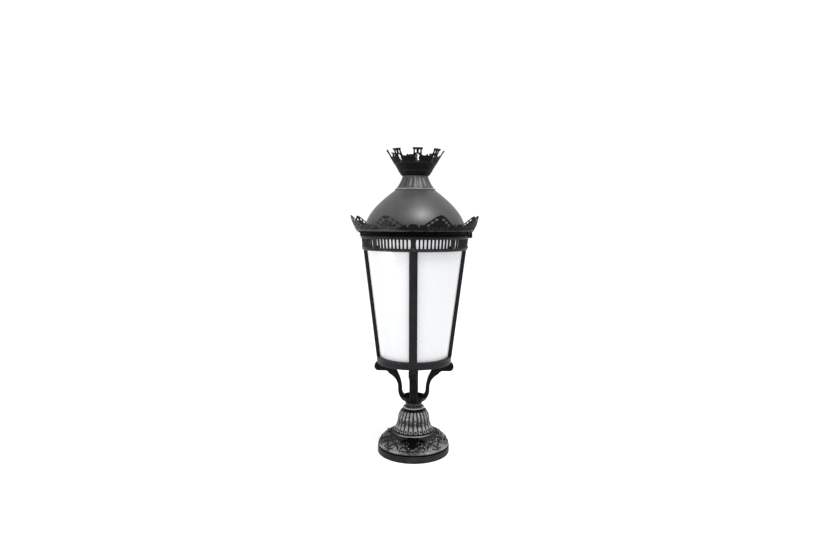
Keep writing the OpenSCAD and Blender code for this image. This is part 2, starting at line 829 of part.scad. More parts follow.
module leaf_ring() {
  rows = 7;
  t_max = leaf_h + 1;
  color(black)
    difference() {
      rotate_extrude()
        polygon(concat(
          [[cornice_r - 14, z_dome]],
          [for (i = [0:rows])
            let (t = t_max * i / rows)
            [crest_r(t), z_dome + t]],
          [for (i = [rows:-1:1])
            let (t = t_max * i / rows)
            [crest_r(t) - 4, z_dome + t]],
          [[cornice_r - 1, z_dome + 3], [cornice_r - 14, z_dome + 3]]));
      for (a = [0:45:315]) {
        radial_cut(a, cornice_r - 40, leaf_r + 20, concat(
          [for (p = crest_edge)
            let (t = p[1] * leaf_h)
            [crest_r(t) * sin(p[0]), z_dome + t]],
          [[crest_r(leaf_h) * sin(22.6), z_dome + leaf_h + 9]],
          [[-crest_r(leaf_h) * sin(22.6), z_dome + leaf_h + 9]],
          [for (i = [len(crest_edge) - 1:-1:1])
            let (p = crest_edge[i])
            let (t = p[1] * leaf_h)
            [-crest_r(t) * sin(p[0]), z_dome + t]]));
        for (s = [-1, 1], k = [0:2])
          petal(a + 22.5, s, k);
        for (s = [-1, 1], b = [2.1, 5.0, 8.6])
          radial_hole(a + 22.5 + s * b, cornice_r - 10, leaf_r, z_dome + 0.235 * leaf_h, 3.1);
        rotate([0, 0, a + 22.5])
          translate([leaf_screw_x, 0, z_dome - 1])
            cylinder(r = screw_r + gap, h = 6, $fn = 24);
      }
    }
}

// one petal-shaped opening of a leaf: s is the side, k counts from the top
module petal(a, s, k) {
  fan = 16 + 25 * k;
  reach = 0.6 * leaf_h + 3 * k;
  x = s * reach * sin(fan);
  z = z_dome + 0.165 * leaf_h + reach * cos(fan);
  long = 8 - 0.4 * k;
  wide = 6.2 - 0.3 * k;
  rotate([0, 0, a])
    translate([cornice_r - 20, x, z])
      rotate([90, 0, 90])
        rotate([0, 0, -s * fan])
          linear_extrude(height = 60)
            polygon([for (i = [0:11])
              let (b = 30 * i)
              [wide * cos(b) * (0.86 + 0.14 * sin(b)), long * sin(b)]]);
}

module leaf_screws() {
  color(steel)
    for (a = [22.5:45:337.5])
      rotate([0, 0, a])
        translate([leaf_screw_x, 0, 0])
          union() {
            translate([0, 0, z_lid - 1])
              cylinder(r = screw_r, h = lid_h + 5, $fn = 24);
            translate([0, 0, z_dome + 3])
              rotate_extrude($fn = 24)
                polygon([[0, 0], [4.5, 0], [4.5, 1.4], [3.2, 2.6], [0, 3]]);
          }
}

module leaf_nuts() {
  color(steel)
    for (a = [22.5:45:337.5])
      rotate([0, 0, a])
        translate([leaf_screw_x, 0, z_lid - 1.5])
          difference() {
            cylinder(r = 2 * screw_r, h = 5, $fn = 6);
            translate([0, 0, -1])
              cylinder(r = screw_r + 0.05, h = 8, $fn = 24);
          }
}

// part of a quarter turn that the dome's cosine outline runs through, and the radius where it stops
dome_arc = 66.5;
dome_top_r = dome_r * cos(dome_arc);
// outline of the dome at a share of its height
function dome_pt(t) = [dome_r * cos(dome_arc * t), z_dome + 3 + (dome_h - 3) * t];

module dome() {
  n = 20;
  skin = 2.5;
  color(black)
    difference() {
      rotate_extrude($fn = 128)
        polygon(concat(
          [[dome_r - 6, z_dome], [dome_r + 4, z_dome], [dome_r + 4, z_dome + 3]],
          [for (i = [0:n]) dome_pt(i / n)],
          [[0, z_neck], [0, z_neck - 4], [24, z_neck - 4]],
          [for (i = [n - 1:-1:0]) [dome_pt(i / n)[0] - skin - 3.5 * i / n, dome_pt(i / n)[1] - 3.5 * i / n]],
          [[dome_r - 6, z_dome + 3]]));
      translate([0, 0, z_neck - 8])
        cylinder(r = stud_r + gap, h = 12, $fn = 24);
    }
}

flute_steps = 6;
neck_n = flute_count * flute_steps;
bead_h = 7;
neck_rows = [0, 0.08, 0.2, 0.36, 0.54, 0.72, 0.86, 0.95, 1];

function neck_r(z) =
  neck_top_d / 2 + (dome_top_r - 4.5 - neck_top_d / 2) * pow((z_crown - z) / (neck_h - bead_h), 1.45);
function flute_r(i, t, z) =
  let (fade = round_end(t / 0.25) * round_end((0.97 - t) / 0.15))
  neck_r(z) - 2.6 * fade * (0.5 - 0.5 * cos(360 * i / flute_steps));

module neck_collar() {
  r = dome_top_r;
  color(black)
    difference() {
      union() {
        rotate_extrude()
          polygon([[0, z_neck], [r - 0.5, z_neck], [r + 1, z_neck + 1.2], [r + 1.5, z_neck + 3],
                   [r + 0.6, z_neck + 5], [r - 1.5, z_neck + 6.4], [r - 3.4, z_neck + bead_h],
                   [0, z_neck + bead_h]]);
        stack([for (t = neck_rows)
          let (z = z_neck + bead_h + (neck_h - bead_h) * t)
          [for (i = [0:neck_n - 1])
            let (r = flute_r(i, t, z))
            [r * cos(360 * i / neck_n), r * sin(360 * i / neck_n), z]]], neck_n);
      }
      translate([0, 0, z_neck - 1])
        cylinder(r = neck_top_d / 2 - 9, h = neck_h - 6);
      translate([0, 0, z_crown - 12])
        cylinder(r = stud_r + gap, h = 14, $fn = 24);
    }
}

// flared face of the crown at height share t
function crown_r(t) = (crown_foot_d + (crown_d - crown_foot_d) * t) / 2;
// place across the radius of a tower's side, seen from the middle of the gap
function gap_x(t, w) = crown_r(t) * sin(22.5 - asin(w / 2 / crown_r(t)));

module crown() {
  h = crown_h;
  z = z_crown;
  skin = 3.6;
  edge = [[0.2, 0.775], [3, 0.745], [7, 0.722], [12, 0.718], [17, 0.73], [21, 0.752]];
  color(black)
    difference() {
      rotate_extrude()
        polygon([[0, z], [neck_top_d / 2, z], [crown_r(0.05), z + 0.05 * h],
                 [crown_r(0.16), z + 0.16 * h], [crown_r(0.17) + 1.6, z + 0.17 * h],
                 [crown_r(0.2) + 1.6, z + 0.2 * h], [crown_r(0.21), z + 0.21 * h],
                 [crown_r(0.45), z + 0.45 * h], [crown_r(0.455) + 1.6, z + 0.455 * h],
                 [crown_r(0.485) + 1.6, z + 0.485 * h], [crown_r(0.49), z + 0.49 * h],
                 [crown_r(0.94), z + 0.94 * h], [crown_r(0.945) + 2, z + 0.945 * h], [crown_r(1), z + h],
                 [crown_r(1) - skin, z + h], [crown_r(0.045) - skin, z + 0.045 * h], [0, z + 0.045 * h]]);
      translate([0, 0, z - 1])
        cylinder(r = stud_r + gap, h = 10, $fn = 24);
      rotate([0, 0, crown_turn]) {
        for (a = [22.5:45:337.5])
          radial_cut(a, crown_r(0.6), crown_d / 2 + 10, concat(
            [for (p = edge) [p[0], z + p[1] * h]],
            [[gap_x(0.79, 32), z + 0.79 * h], [gap_x(0.93, 32), z + 0.935 * h],
             [gap_x(0.95, 38), z + 0.935 * h], [gap_x(1, 38), z + 1.03 * h]],
            [[-gap_x(1, 38), z + 1.03 * h], [-gap_x(0.95, 38), z + 0.935 * h],
             [-gap_x(0.93, 32), z + 0.935 * h], [-gap_x(0.79, 32), z + 0.79 * h]],
            [for (i = [len(edge) - 1:-1:0]) [-edge[i][0], z + edge[i][1] * h]]));
        for (a = [0:45:315]) {
          for (s = [-1, 1])
            radial_cut(a, crown_r(0.7), crown_d / 2 + 10, [
              [s * 7.2 - 2.9, z + 0.815 * h], [s * 7.2 + 2.9, z + 0.815 * h], [s * 7.2 + 2.9, z + 0.9 * h],
              [s * 7.2 + 1.7, z + 0.93 * h], [s * 7.2 - 1.7, z + 0.93 * h], [s * 7.2 - 2.9, z + 0.9 * h]]);
          radial_cut(a, crown_r(0.35), crown_d / 2 + 10, [
            [-7.5, z + 0.51 * h], [7.5, z + 0.51 * h], [7.5, z + 0.7 * h], [5.5, z + 0.745 * h],
            [2.6, z + 0.775 * h], [-2.6, z + 0.775 * h], [-5.5, z + 0.745 * h], [-7.5, z + 0.7 * h]]);
        }
      }
    }
}

module roof_stud() {
  color(steel)
    translate([0, 0, z_neck - 16])
      cylinder(r = stud_r, h = neck_h + 32, $fn = 24);
}

module roof_nuts() {
  color(steel) {
    difference() {
      translate([0, 0, z_neck - 12])
        cylinder(r = stud_r + 4.5, h = 8, $fn = 6);
      translate([0, 0, z_neck - 13])
        cylinder(r = stud_r + 0.05, h = 10, $fn = 24);
    }
    difference() {
      translate([0, 0, z_crown + 0.045 * crown_h])
        cylinder(r = stud_r + 4.5, h = 8, $fn = 6);
      translate([0, 0, z_crown])
        cylinder(r = stud_r + 0.05, h = 16, $fn = 24);
    }
  }
}

// captive screw in the gutter that holds the roof shut
module closing_screw() {
  color(steel)
    translate([-lock_x, 0, 0])
      union() {
        translate([0, 0, z_top - 10])
          cylinder(r = bolt_r, h = z_dome - z_top + 11, $fn = 24);
        difference() {
          translate([0, 0, z_dome])
            cylinder(r = 5, h = 6, $fn = 24);
          translate([-6, -0.8, z_dome + 4])
            cube([12, 1.6, 3]);
        }
      }
}

foot();
bell();
collar();
yoke();
tie_tube();
tie_nuts();
lower_ring();
yoke_bolts();
bottom_tray();
cable_gland();
gland_nut();
bar_front();
bar_right();
bar_back();
bar_left();
panel_front_right();
panel_back_right();
panel_back_left();
panel_front_left();
frieze_ring();
frieze_screws();
panel_clips();
gear_tray();
tray_screws();
reflector();
lamp_holder();
lamp_cap();
lamp_glass();
ballast();
ignitor();
capacitor();
terminal_block();
lid_gasket();
hinge_pin();
lid_ring();
leaf_ring();
leaf_screws();
leaf_nuts();
dome();
neck_collar();
crown();
roof_stud();
roof_nuts();
closing_screw();
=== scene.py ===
# %% [markdown]
# # A crowned lantern on a gadrooned foot
#
# The real thing is a post-top street light. From the ground up it has a round cast foot with
# leaf work, a gadrooned bell, a four-armed yoke, a glazed lantern of opal sheets between four
# bars, a pierced frieze, a cresting of leaves, a dome and a crown of little towers.
#
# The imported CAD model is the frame: every Blender piece is in the same place and the same size.
# This notebook adds what a construction model leaves plain: soft edges, relief and finishes.

# %% The frame
import math

import bpy
import numpy as np
from mathutils.geometry import delaunay_2d_cdt
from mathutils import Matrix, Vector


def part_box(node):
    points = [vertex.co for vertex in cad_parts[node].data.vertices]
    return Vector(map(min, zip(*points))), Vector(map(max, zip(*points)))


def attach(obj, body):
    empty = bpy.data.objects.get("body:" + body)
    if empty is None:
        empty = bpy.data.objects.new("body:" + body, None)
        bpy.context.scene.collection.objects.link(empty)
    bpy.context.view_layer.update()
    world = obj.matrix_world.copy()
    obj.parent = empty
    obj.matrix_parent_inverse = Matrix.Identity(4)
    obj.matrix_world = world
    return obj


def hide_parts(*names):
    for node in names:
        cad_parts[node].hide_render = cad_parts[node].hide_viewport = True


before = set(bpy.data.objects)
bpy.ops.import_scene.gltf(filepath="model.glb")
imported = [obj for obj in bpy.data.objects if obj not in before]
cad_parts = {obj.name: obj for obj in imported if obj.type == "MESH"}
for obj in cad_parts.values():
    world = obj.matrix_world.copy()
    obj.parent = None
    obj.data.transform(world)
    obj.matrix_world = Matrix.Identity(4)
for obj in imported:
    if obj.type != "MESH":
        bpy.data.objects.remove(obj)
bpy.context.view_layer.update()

# %% [markdown]
# ## Sizes
#
# The heights of the seats come from the CAD nodes themselves, so the new pieces sit on the same
# faces. Lengths are in millimetres until a mesh is made, which is easier to read for a casting.
# bore_r is the hole that the tie tube passes through, and stud_bore_r the one of the roof stud.

# %% Heights and radii
MM = 0.001


def edge_of(node, axis, side):
    """Lowest (side 0) or highest (side 1) coordinate of a CAD node along an axis, in mm."""
    return round(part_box(node)[side][axis] / MM, 3)


z_bell = edge_of("bell", 2, 0)
z_collar = edge_of("collar", 2, 0)
z_yoke = edge_of("yoke", 2, 0)
z_ring = edge_of("lower_ring", 2, 0)
z_body = edge_of("lower_ring", 2, 1)
z_frieze = edge_of("frieze_ring", 2, 0)
z_top = edge_of("lid_gasket", 2, 0)
z_dome = edge_of("leaf_ring", 2, 0)
z_neck = edge_of("neck_collar", 2, 0)
z_crown = edge_of("crown", 2, 0)
z_tip = edge_of("crown", 2, 1)

foot_r = edge_of("foot", 0, 1)
bell_ring_r = edge_of("bell", 0, 1)
collar_r = edge_of("collar", 0, 1)
ring_r = edge_of("lower_ring", 0, 1)
body_r = edge_of("bar_right", 0, 1)
frieze_r = -edge_of("frieze_ring", 0, 0)
cornice_r = -edge_of("lid_ring", 0, 0)
dome_flange = 4.0
dome_sweep = 66.5
dome_r = edge_of("dome", 0, 1) - dome_flange
neck_foot_r = dome_r * math.cos(math.radians(dome_sweep))
neck_top_r = 50.5
crown_r = 113.0
leaf_r = 262.0
leaf_h = 60.0
bore_r = 13.3
stud_bore_r = 5.3
seats = (z_bell, z_collar, z_yoke, z_ring, z_body, z_frieze, z_top, z_dome, z_neck, z_crown, z_tip)
print("seats (mm):", *seats)
print("radii (mm):", foot_r, bell_ring_r, collar_r, ring_r, body_r, frieze_r, cornice_r, dome_r)

# %% [markdown]
# ## Surfaces from numbers
#
# Most of this lamp is turned or swept, so its surfaces are grids: one number runs round the piece
# and the other runs along a profile. Whole arrays are worked out at once with numpy, and the mesh
# gets them in one go. A profile that closes on itself gives a shell with an inside and an outside
# and no open seam.

# %% Grids into meshes
def band(points, caps=False):
    """Vertices and faces of a grid (rows, columns, 3) whose columns close on themselves.

    The rows close on themselves too, or else caps=True ends them with one flat face each.
    """
    rows, cols = points.shape[:2]
    last = rows - 1 if caps else rows
    i, j = np.meshgrid(np.arange(last), np.arange(cols), indexing="ij")
    up, right = (i + 1) % rows, (j + 1) % cols
    quads = np.stack([i * cols + j, i * cols + right, up * cols + right, up * cols + j], -1)
    faces = quads.reshape(-1, 4).tolist()
    if caps:
        faces += [list(range(cols))[::-1], [(rows - 1) * cols + k for k in range(cols)]]
    return points.reshape(-1, 3), faces


def volume(verts, faces):
    """Signed volume: the sum of the tetrahedra from the origin to each triangle of each face."""
    fans = [(f[0], f[k], f[k + 1]) for f in faces for k in range(1, len(f) - 1)]
    a, b, c = (verts[np.array(fans)[:, k]] for k in range(3))
    return float(np.einsum("ij,ij->i", a, np.cross(b, c)).sum() / 6)


def outward(shell):
    """The same shell with its faces turned to point outwards."""
    verts, faces = shell
    if volume(verts, faces) < 0:
        faces = [f[::-1] for f in faces]
    return verts, faces


def make_piece(name, shells, finish, body, nodes=(), crest=None, sharp=35):
    """One object from closed shells in millimetres, in place, with a finish and a body to ride on.

    crest says how light each vertex is drawn: 1 is bare metal, for wear and for painted highlights,
    0 is plain paint and -1 is a dark hollow, for grime and for painted shade.
    """
    shells = [outward(s) for s in shells]
    starts = np.cumsum([0] + [len(v) for v, _ in shells])
    verts = np.concatenate([v for v, _ in shells]) * MM
    faces = [[int(k) + int(start) for k in f] for (_, fs), start in zip(shells, starts) for f in fs]
    mesh = bpy.data.meshes.new(name)
    mesh.from_pydata(verts.tolist(), [], faces)
    wear = np.zeros(len(verts)) if crest is None else np.asarray(crest, float).ravel()
    layer = mesh.attributes.new("crest", "FLOAT", "POINT")
    layer.data.foreach_set("value", wear.astype(np.float32))
    mesh.shade_smooth()
    mesh.set_sharp_from_angle(angle=math.radians(sharp))
    mesh.materials.append(finish)
    mesh.update()
    piece = bpy.data.objects.new(name, mesh)
    bpy.context.scene.collection.objects.link(piece)
    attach(piece, body)
    if nodes:
        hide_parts(*nodes)
    triangles = sum(len(f) - 2 for f in faces)
    print(f"{name}: {len(verts)} vertices, {triangles} triangles")


# %% [markdown]
# ## Profiles
#
# A casting has no razor edges. `soften` replaces each corner of a profile by a short curve, and
# `resample` spreads points evenly along a line, so that relief has something to move. A number that
# changes in only one direction of a grid is kept as one row or one column, and `spread` copies it
# over the whole grid.

# %% Profile helpers
def soften(points, size=0.6, steps=3):
    """A closed profile with each corner replaced by a parabola.

    The parabola starts and ends at `size` from the corner on its two edges, or at 0.4 of a
    short edge.
    """
    p = np.asarray(points, float)
    before, after = np.roll(p, 1, 0) - p, np.roll(p, -1, 0) - p
    la, lb = np.linalg.norm(before, axis=1), np.linalg.norm(after, axis=1)
    a = p + before * (np.minimum(size, 0.4 * la) / la)[:, None]
    b = p + after * (np.minimum(size, 0.4 * lb) / lb)[:, None]
    t = np.linspace(0, 1, steps)[None, :, None]
    curve = (1 - t) ** 2 * a[:, None] + 2 * t * (1 - t) * p[:, None] + t**2 * b[:, None]
    return curve.reshape(-1, 2)


def path_length(p):
    """Length along a line from its start to each of its points."""
    return np.concatenate([[0], np.cumsum(np.linalg.norm(np.diff(p, axis=0), axis=1))])


def resample(points, step):
    """Points along a line at even steps of length, ends included."""
    p = np.asarray(points, float)
    length = path_length(p)
    at = np.linspace(0, length[-1], max(2, int(round(length[-1] / step)) + 1))
    return np.stack([np.interp(at, length, p[:, k]) for k in range(p.shape[1])], -1)


def even_loop(loop, step):
    """A closed loop at even steps of length."""
    return resample(np.concatenate([loop, loop[:1]]), step)[:-1]


def inwards(loop):
    """Unit direction at each point of a closed loop: square to its neighbours' line, inwards."""
    d = np.roll(loop, -1, 0) - np.roll(loop, 1, 0)
    twice_area = np.sum(loop[:, 0] * np.roll(loop[:, 1], -1) - np.roll(loop[:, 0], -1) * loop[:, 1])
    length = np.maximum(np.linalg.norm(d, axis=1), 1e-9)[:, None]
    return np.sign(twice_area) * np.stack([-d[:, 1], d[:, 0]], -1) / length


def even_angles(count):
    """Angles at even steps once round, in radians."""
    return np.linspace(0, 2 * np.pi, count, endpoint=False)


def spread(*coordinates):
    """Points of a grid from coordinates that are whole grids, rows, columns or single numbers."""
    return np.stack(np.broadcast_arrays(*coordinates), -1)


def wrapped(profiles, angle):
    """A shell from a closed (radius, height) profile for each angle: x = r cos a, y = r sin a."""
    r, z = profiles[..., 0], profiles[..., 1]
    return band(spread(r * np.cos(angle), r * np.sin(angle), z))


def turned(profile, around=192, centre=(0, 0)):
    """One closed profile of (radius, height) carried round an upright axis."""
    r, z = np.asarray(profile, float).T
    a = even_angles(around)[:, None]
    return band(spread(centre[0] + r * np.cos(a), centre[1] + r * np.sin(a), z))


def turn_matrix(angle):
    """Turns rows of (x, y, z) about the lamp's axis: x cos a - y sin a, x sin a + y cos a."""
    c, s = math.cos(angle), math.sin(angle)
    return np.array([[c, s, 0], [-s, c, 0], [0, 0, 1]])


def about_axis(shell, degrees):
    """A shell turned about the lamp's axis."""
    verts, faces = shell
    return verts @ turn_matrix(math.radians(degrees)), faces


def from_axis(verts):
    """Distance of each vertex from the lamp's axis."""
    return np.hypot(verts[:, 0], verts[:, 1])


def ease(t):
    """0 below 0, 1 above 1, and a smooth step 3t^2 - 2t^3 between."""
    t = np.clip(t, 0, 1)
    return t * t * (3 - 2 * t)


def round_end(t):
    """Quarter of a circle from 0 to 1, for the blunt end of a lobe: sqrt(1 - (1 - t)^2)."""
    return np.sqrt(1 - (1 - np.clip(t, 0, 1)) ** 2)


def hump(x, middle, width):
    """A soft hump of height 1: exp(-((x - middle) / width)^2)."""
    return np.exp(-((x - middle) / width) ** 2)

# %% [markdown]
# ## Finishes
#
# A painted casting shows four things: a skin with a fine grain from the mould, a slow change of
# tone where the paint is thick or thin, edges that are bright from wear and from painted
# highlights, and hollows that are dark from grime and from painted shade. The skin is one node
# group, and the wear with the painted light and shade is another, so that every metal shares them.
# That second group reads the crest attribute: up to 1 on edges and painted highlights, down to -1
# in hollows and painted shade.

# %% Node groups
def new_group(name, inputs, outputs):
    """An empty shader node group with named sockets: inputs are (kind, name, value)."""
    group = bpy.data.node_groups.new(name, "ShaderNodeTree")
    for kind, label, value in inputs:
        socket = group.interface.new_socket(name=label, in_out="INPUT",
                                            socket_type="NodeSocket" + kind)
        if value is not None:
            socket.default_value = value
    for kind, label in outputs:
        group.interface.new_socket(name=label, in_out="OUTPUT", socket_type="NodeSocket" + kind)
    return group, group.nodes.new("NodeGroupInput"), group.nodes.new("NodeGroupOutput")


def noise(tree, vector, scale, detail=3.0, roughness=0.55):
    """A Noise Texture that reads the given coordinates; scale is in cells a metre."""
    node = tree.nodes.new("ShaderNodeTexNoise")
    node.inputs["Scale"].default_value = scale
    node.inputs["Detail"].default_value = detail
    node.inputs["Roughness"].default_value = roughness
    tree.links.new(vector, node.inputs["Vector"])
    return node.outputs["Fac"]


def feed(tree, value, socket):
    """Feeds an input by a link from another node, or sets it to a number or to (r, g, b)."""
    if isinstance(value, (int, float)):
        socket.default_value = value
    elif isinstance(value, tuple):
        socket.default_value = (*value, 1)
    else:
        tree.links.new(value, socket)


def calc(tree, operation, a, b):
    """A Math node; a and b are each a socket or a number."""
    node = tree.nodes.new("ShaderNodeMath")
    node.operation = operation
    for socket, value in zip(node.inputs, (a, b)):
        feed(tree, value, socket)
    return node.outputs[0]


def between(tree, value, low, high, out_low=0.0, out_high=1.0):
    """A Map Range node that clamps."""
    node = tree.nodes.new("ShaderNodeMapRange")
    ends = {"From Min": low, "From Max": high, "To Min": out_low, "To Max": out_high,
            "Value": value}
    for label, end in ends.items():
        feed(tree, end, node.inputs[label])
    return node.outputs["Result"]


def blend_colours(tree, fac, a, b):
    """A Mix node for colours; a and b are sockets or (r, g, b)."""
    node = tree.nodes.new("ShaderNodeMix")
    node.data_type = "RGBA"
    for label, value in {"Factor": fac, "A": a, "B": b}.items():
        feed(tree, value, node.inputs[label])
    return node.outputs["Result"]


cast_skin, gin, gout = new_group(
    "cast_skin",
    [("Vector", "Place", None), ("Color", "Thin", (0.02, 0.02, 0.02, 1)),
     ("Color", "Thick", (0.03, 0.03, 0.03, 1)), ("Float", "Smooth", 0.4), ("Float", "Rough", 0.6),
     ("Float", "Grain", 1.0)],
    [("Color", "Tone"), ("Float", "Roughness"), ("Float", "Height")])
slow = noise(cast_skin, gin.outputs["Place"], 22, 4)
fine = noise(cast_skin, gin.outputs["Place"], 420, 3, 0.6)
pits = noise(cast_skin, gin.outputs["Place"], 1150, 2, 0.5)
cloudy = calc(cast_skin, "ADD", calc(cast_skin, "MULTIPLY", slow, 0.7),
              calc(cast_skin, "MULTIPLY", fine, 0.3))
tone = blend_colours(cast_skin, between(cast_skin, cloudy, 0.36, 0.64),
                     gin.outputs["Thin"], gin.outputs["Thick"])
gloss = between(cast_skin, slow, 0.35, 0.65, gin.outputs["Smooth"], gin.outputs["Rough"])
grain = calc(cast_skin, "ADD", fine, calc(cast_skin, "MULTIPLY", pits, 0.5))
cast_skin.links.new(tone, gout.inputs["Tone"])
cast_skin.links.new(gloss, gout.inputs["Roughness"])
cast_skin.links.new(calc(cast_skin, "MULTIPLY", grain, gin.outputs["Grain"]), gout.inputs["Height"])

wear_and_painted_light, gin, gout = new_group(
    "wear_and_painted_light",
    [("Vector", "Place", None), ("Float", "Crest", 0.0), ("Float", "Start", 0.5),
     ("Float", "Amount", 1.0)],
    [("Float", "Wear and highlight"), ("Float", "Grime and shade")])
# Its first output brightens crests, for wear and for painted highlights; its second darkens
# hollows, for grime and for painted shade.
patchy = between(wear_and_painted_light, noise(wear_and_painted_light, gin.outputs["Place"], 160, 4, 0.65),
                 0.3, 0.7, -0.28, 0.28)
crest_mask = between(wear_and_painted_light, calc(wear_and_painted_light, "ADD", gin.outputs["Crest"], patchy),
                     gin.outputs["Start"], calc(wear_and_painted_light, "ADD", gin.outputs["Start"], 0.4))
rub_and_light_out = calc(wear_and_painted_light, "MULTIPLY", crest_mask, gin.outputs["Amount"])
hollow = calc(wear_and_painted_light, "ADD", gin.outputs["Crest"], calc(wear_and_painted_light, "MULTIPLY", patchy, 0.4))
wear_and_painted_light.links.new(rub_and_light_out, gout.inputs["Wear and highlight"])
wear_and_painted_light.links.new(between(wear_and_painted_light, hollow, -0.75, -0.05, 1, 0), gout.inputs["Grime and shade"])
print("node groups:", cast_skin.name, wear_and_painted_light.name)

# %% [markdown]
# ## Materials
#
# The lantern is black paint: satin on the frame, with darker copies with less sheen on the yoke,
# the cresting and the crown that stand for painted shade, and a greyer copy on the dome that stands
# for painted light from above. The foot and bell are the same iron with a pewter look: dark in the
# hollows, with grime and painted shade, and bright on the crests, with wear and painted highlights.
# The sheets are opal white and very even, and they have a painted glow, with the lamp off, that is
# strongest behind the slots of the frieze, where no daylight falls on them.

# %% Metal finishes
def blank_material(name, slot):
    """A new material with its slot, and its tree, its shader and its Object coordinates."""
    mat = bpy.data.materials.new(name)
    mat["slot"] = slot
    mat.use_nodes = True
    tree = mat.node_tree
    place = tree.nodes.new("ShaderNodeTexCoord").outputs["Object"]
    return mat, tree, tree.nodes["Principled BSDF"], place


def add_relief(tree, shader, height, distance):
    """A Bump node: fine relief on the shader's normal, `distance` metres for a height of 1."""
    relief = tree.nodes.new("ShaderNodeBump")
    relief.inputs["Distance"].default_value = distance
    relief.inputs["Strength"].default_value = 1
    tree.links.new(height, relief.inputs["Height"])
    tree.links.new(relief.outputs["Normal"], shader.inputs["Normal"])


def metal_finish(name, slot, thin, thick, crest_colour, smooth, rough, metallic=0.0, worn_metallic=0.0,
                 grain=1.0, bump=0.00006, start=0.5, amount=1.0, specular=0.5):
    """A cast and painted metal: cast_skin for tone, gloss and grain, and a second group for bright
    crests (wear and painted highlights) and dark hollows (grime and painted shade).
    """
    mat, tree, shader, place = blank_material(name, slot)
    skin = tree.nodes.new("ShaderNodeGroup")
    skin.node_tree = cast_skin
    wear_light_group = tree.nodes.new("ShaderNodeGroup")
    wear_light_group.node_tree = wear_and_painted_light
    crest = tree.nodes.new("ShaderNodeAttribute")
    crest.attribute_name = "crest"
    skin_inputs = {"Place": place, "Thin": thin, "Thick": thick, "Smooth": smooth, "Rough": rough,
                   "Grain": grain}
    wear_light_inputs = {"Place": place, "Crest": crest.outputs["Fac"], "Start": start, "Amount": amount}
    for node, inputs in ((skin, skin_inputs), (wear_light_group, wear_light_inputs)):
        for label, value in inputs.items():
            feed(tree, value, node.inputs[label])
    rub_and_highlight, grime_and_shade = wear_light_group.outputs["Wear and highlight"], wear_light_group.outputs["Grime and shade"]
    # Hollows go near-black: grime and painted shade.
    grime_and_shade_tone = blend_colours(tree, grime_and_shade, skin.outputs["Tone"], (0.0022, 0.002, 0.002))
    tree.links.new(blend_colours(tree, rub_and_highlight, grime_and_shade_tone, crest_colour), shader.inputs["Base Color"])
    polish = calc(tree, "MULTIPLY", rub_and_highlight, 0.14)
    tree.links.new(calc(tree, "SUBTRACT", skin.outputs["Roughness"], polish),
                   shader.inputs["Roughness"])
    bare = calc(tree, "MULTIPLY", between(tree, rub_and_highlight, 0, 1, metallic, worn_metallic),
                calc(tree, "SUBTRACT", 1.0, grime_and_shade))
    tree.links.new(bare, shader.inputs["Metallic"])
    add_relief(tree, shader, skin.outputs["Height"], bump)
    shader.inputs["Specular IOR Level"].default_value = specular
    return mat


satin_black = metal_finish(
    "satin_black", "black_paint", (0.005, 0.0047, 0.005), (0.009, 0.0085, 0.009),
    (0.045, 0.044, 0.045), 0.38, 0.52, start=0.55, amount=0.8, specular=0.11)
# The next three are darker copies of the satin black, for painted shade on the cresting, the yoke
# and the crown; the dome's finish after them is a greyer, glossier copy, for painted light from
# above.
leaf_shaded_black = metal_finish(
    "leaf_shaded_black", "black_paint", (0.003, 0.0028, 0.003), (0.0055, 0.0052, 0.0055),
    (0.042, 0.0415, 0.042), 0.4, 0.54, start=0.5, amount=0.95, specular=0.05)
yoke_shaded_black = metal_finish(
    "yoke_shaded_black", "black_paint", (0.003, 0.0027, 0.003), (0.0055, 0.005, 0.0055),
    (0.07, 0.069, 0.07), 0.36, 0.5, start=0.55, amount=0.8, specular=0.055)
crown_shaded_black = metal_finish(
    "crown_shaded_black", "black_paint", (0.0035, 0.0032, 0.0035), (0.0065, 0.006, 0.0065),
    (0.03, 0.029, 0.03), 0.4, 0.54, start=0.5, amount=0.8, specular=0.045)
dome_lit_black = metal_finish(
    "dome_lit_black", "black_paint", (0.020, 0.020, 0.0205), (0.028, 0.028, 0.0288),
    (0.15, 0.15, 0.152), 0.42, 0.48, start=0.5, amount=0.9, specular=0.52)
pewter = metal_finish(
    "rubbed_pewter", "pewter_casting", (0.011, 0.011, 0.0115), (0.026, 0.026, 0.027),
    (0.31, 0.31, 0.315), 0.4, 0.58, metallic=0.2, worn_metallic=0.7,
    grain=1.6, bump=0.0001, start=0.42, amount=0.85, specular=0.12)
foot_iron = metal_finish(
    "foot_iron", "pewter_casting", (0.008, 0.0077, 0.008), (0.024, 0.0235, 0.024),
    (0.24, 0.238, 0.242), 0.4, 0.56, metallic=0.1, worn_metallic=0.6,
    grain=1.8, bump=0.00012, start=0.45, amount=0.85, specular=0.05)
# Near-black with almost no sheen: painted shade, on the front and back shields and on the cornice
# ring, its nuts and its screws.
painted_shade_black = metal_finish(
    "painted_shade_black", "pewter_casting", (0.001, 0.001, 0.001), (0.002, 0.002, 0.002),
    (0.05, 0.05, 0.05), 0.42, 0.55, start=0.55, amount=0.8, specular=0.01)
zinc = metal_finish(
    "zinc_plate", "zinc_steel", (0.42, 0.42, 0.43), (0.56, 0.56, 0.57), (0.7, 0.7, 0.7),
    0.3, 0.46, metallic=1.0, worn_metallic=1.0, grain=0.5)
dark_steel = metal_finish(
    "dark_steel", "zinc_steel", (0.02, 0.02, 0.02), (0.045, 0.045, 0.045), (0.4, 0.4, 0.4),
    0.4, 0.5, metallic=0.6, worn_metallic=1.0, grain=0.7)
white_enamel = metal_finish(
    "white_enamel", "white_paint", (0.76, 0.76, 0.75), (0.84, 0.84, 0.83), (0.86, 0.86, 0.85),
    0.22, 0.34, grain=0.4, amount=0.2)
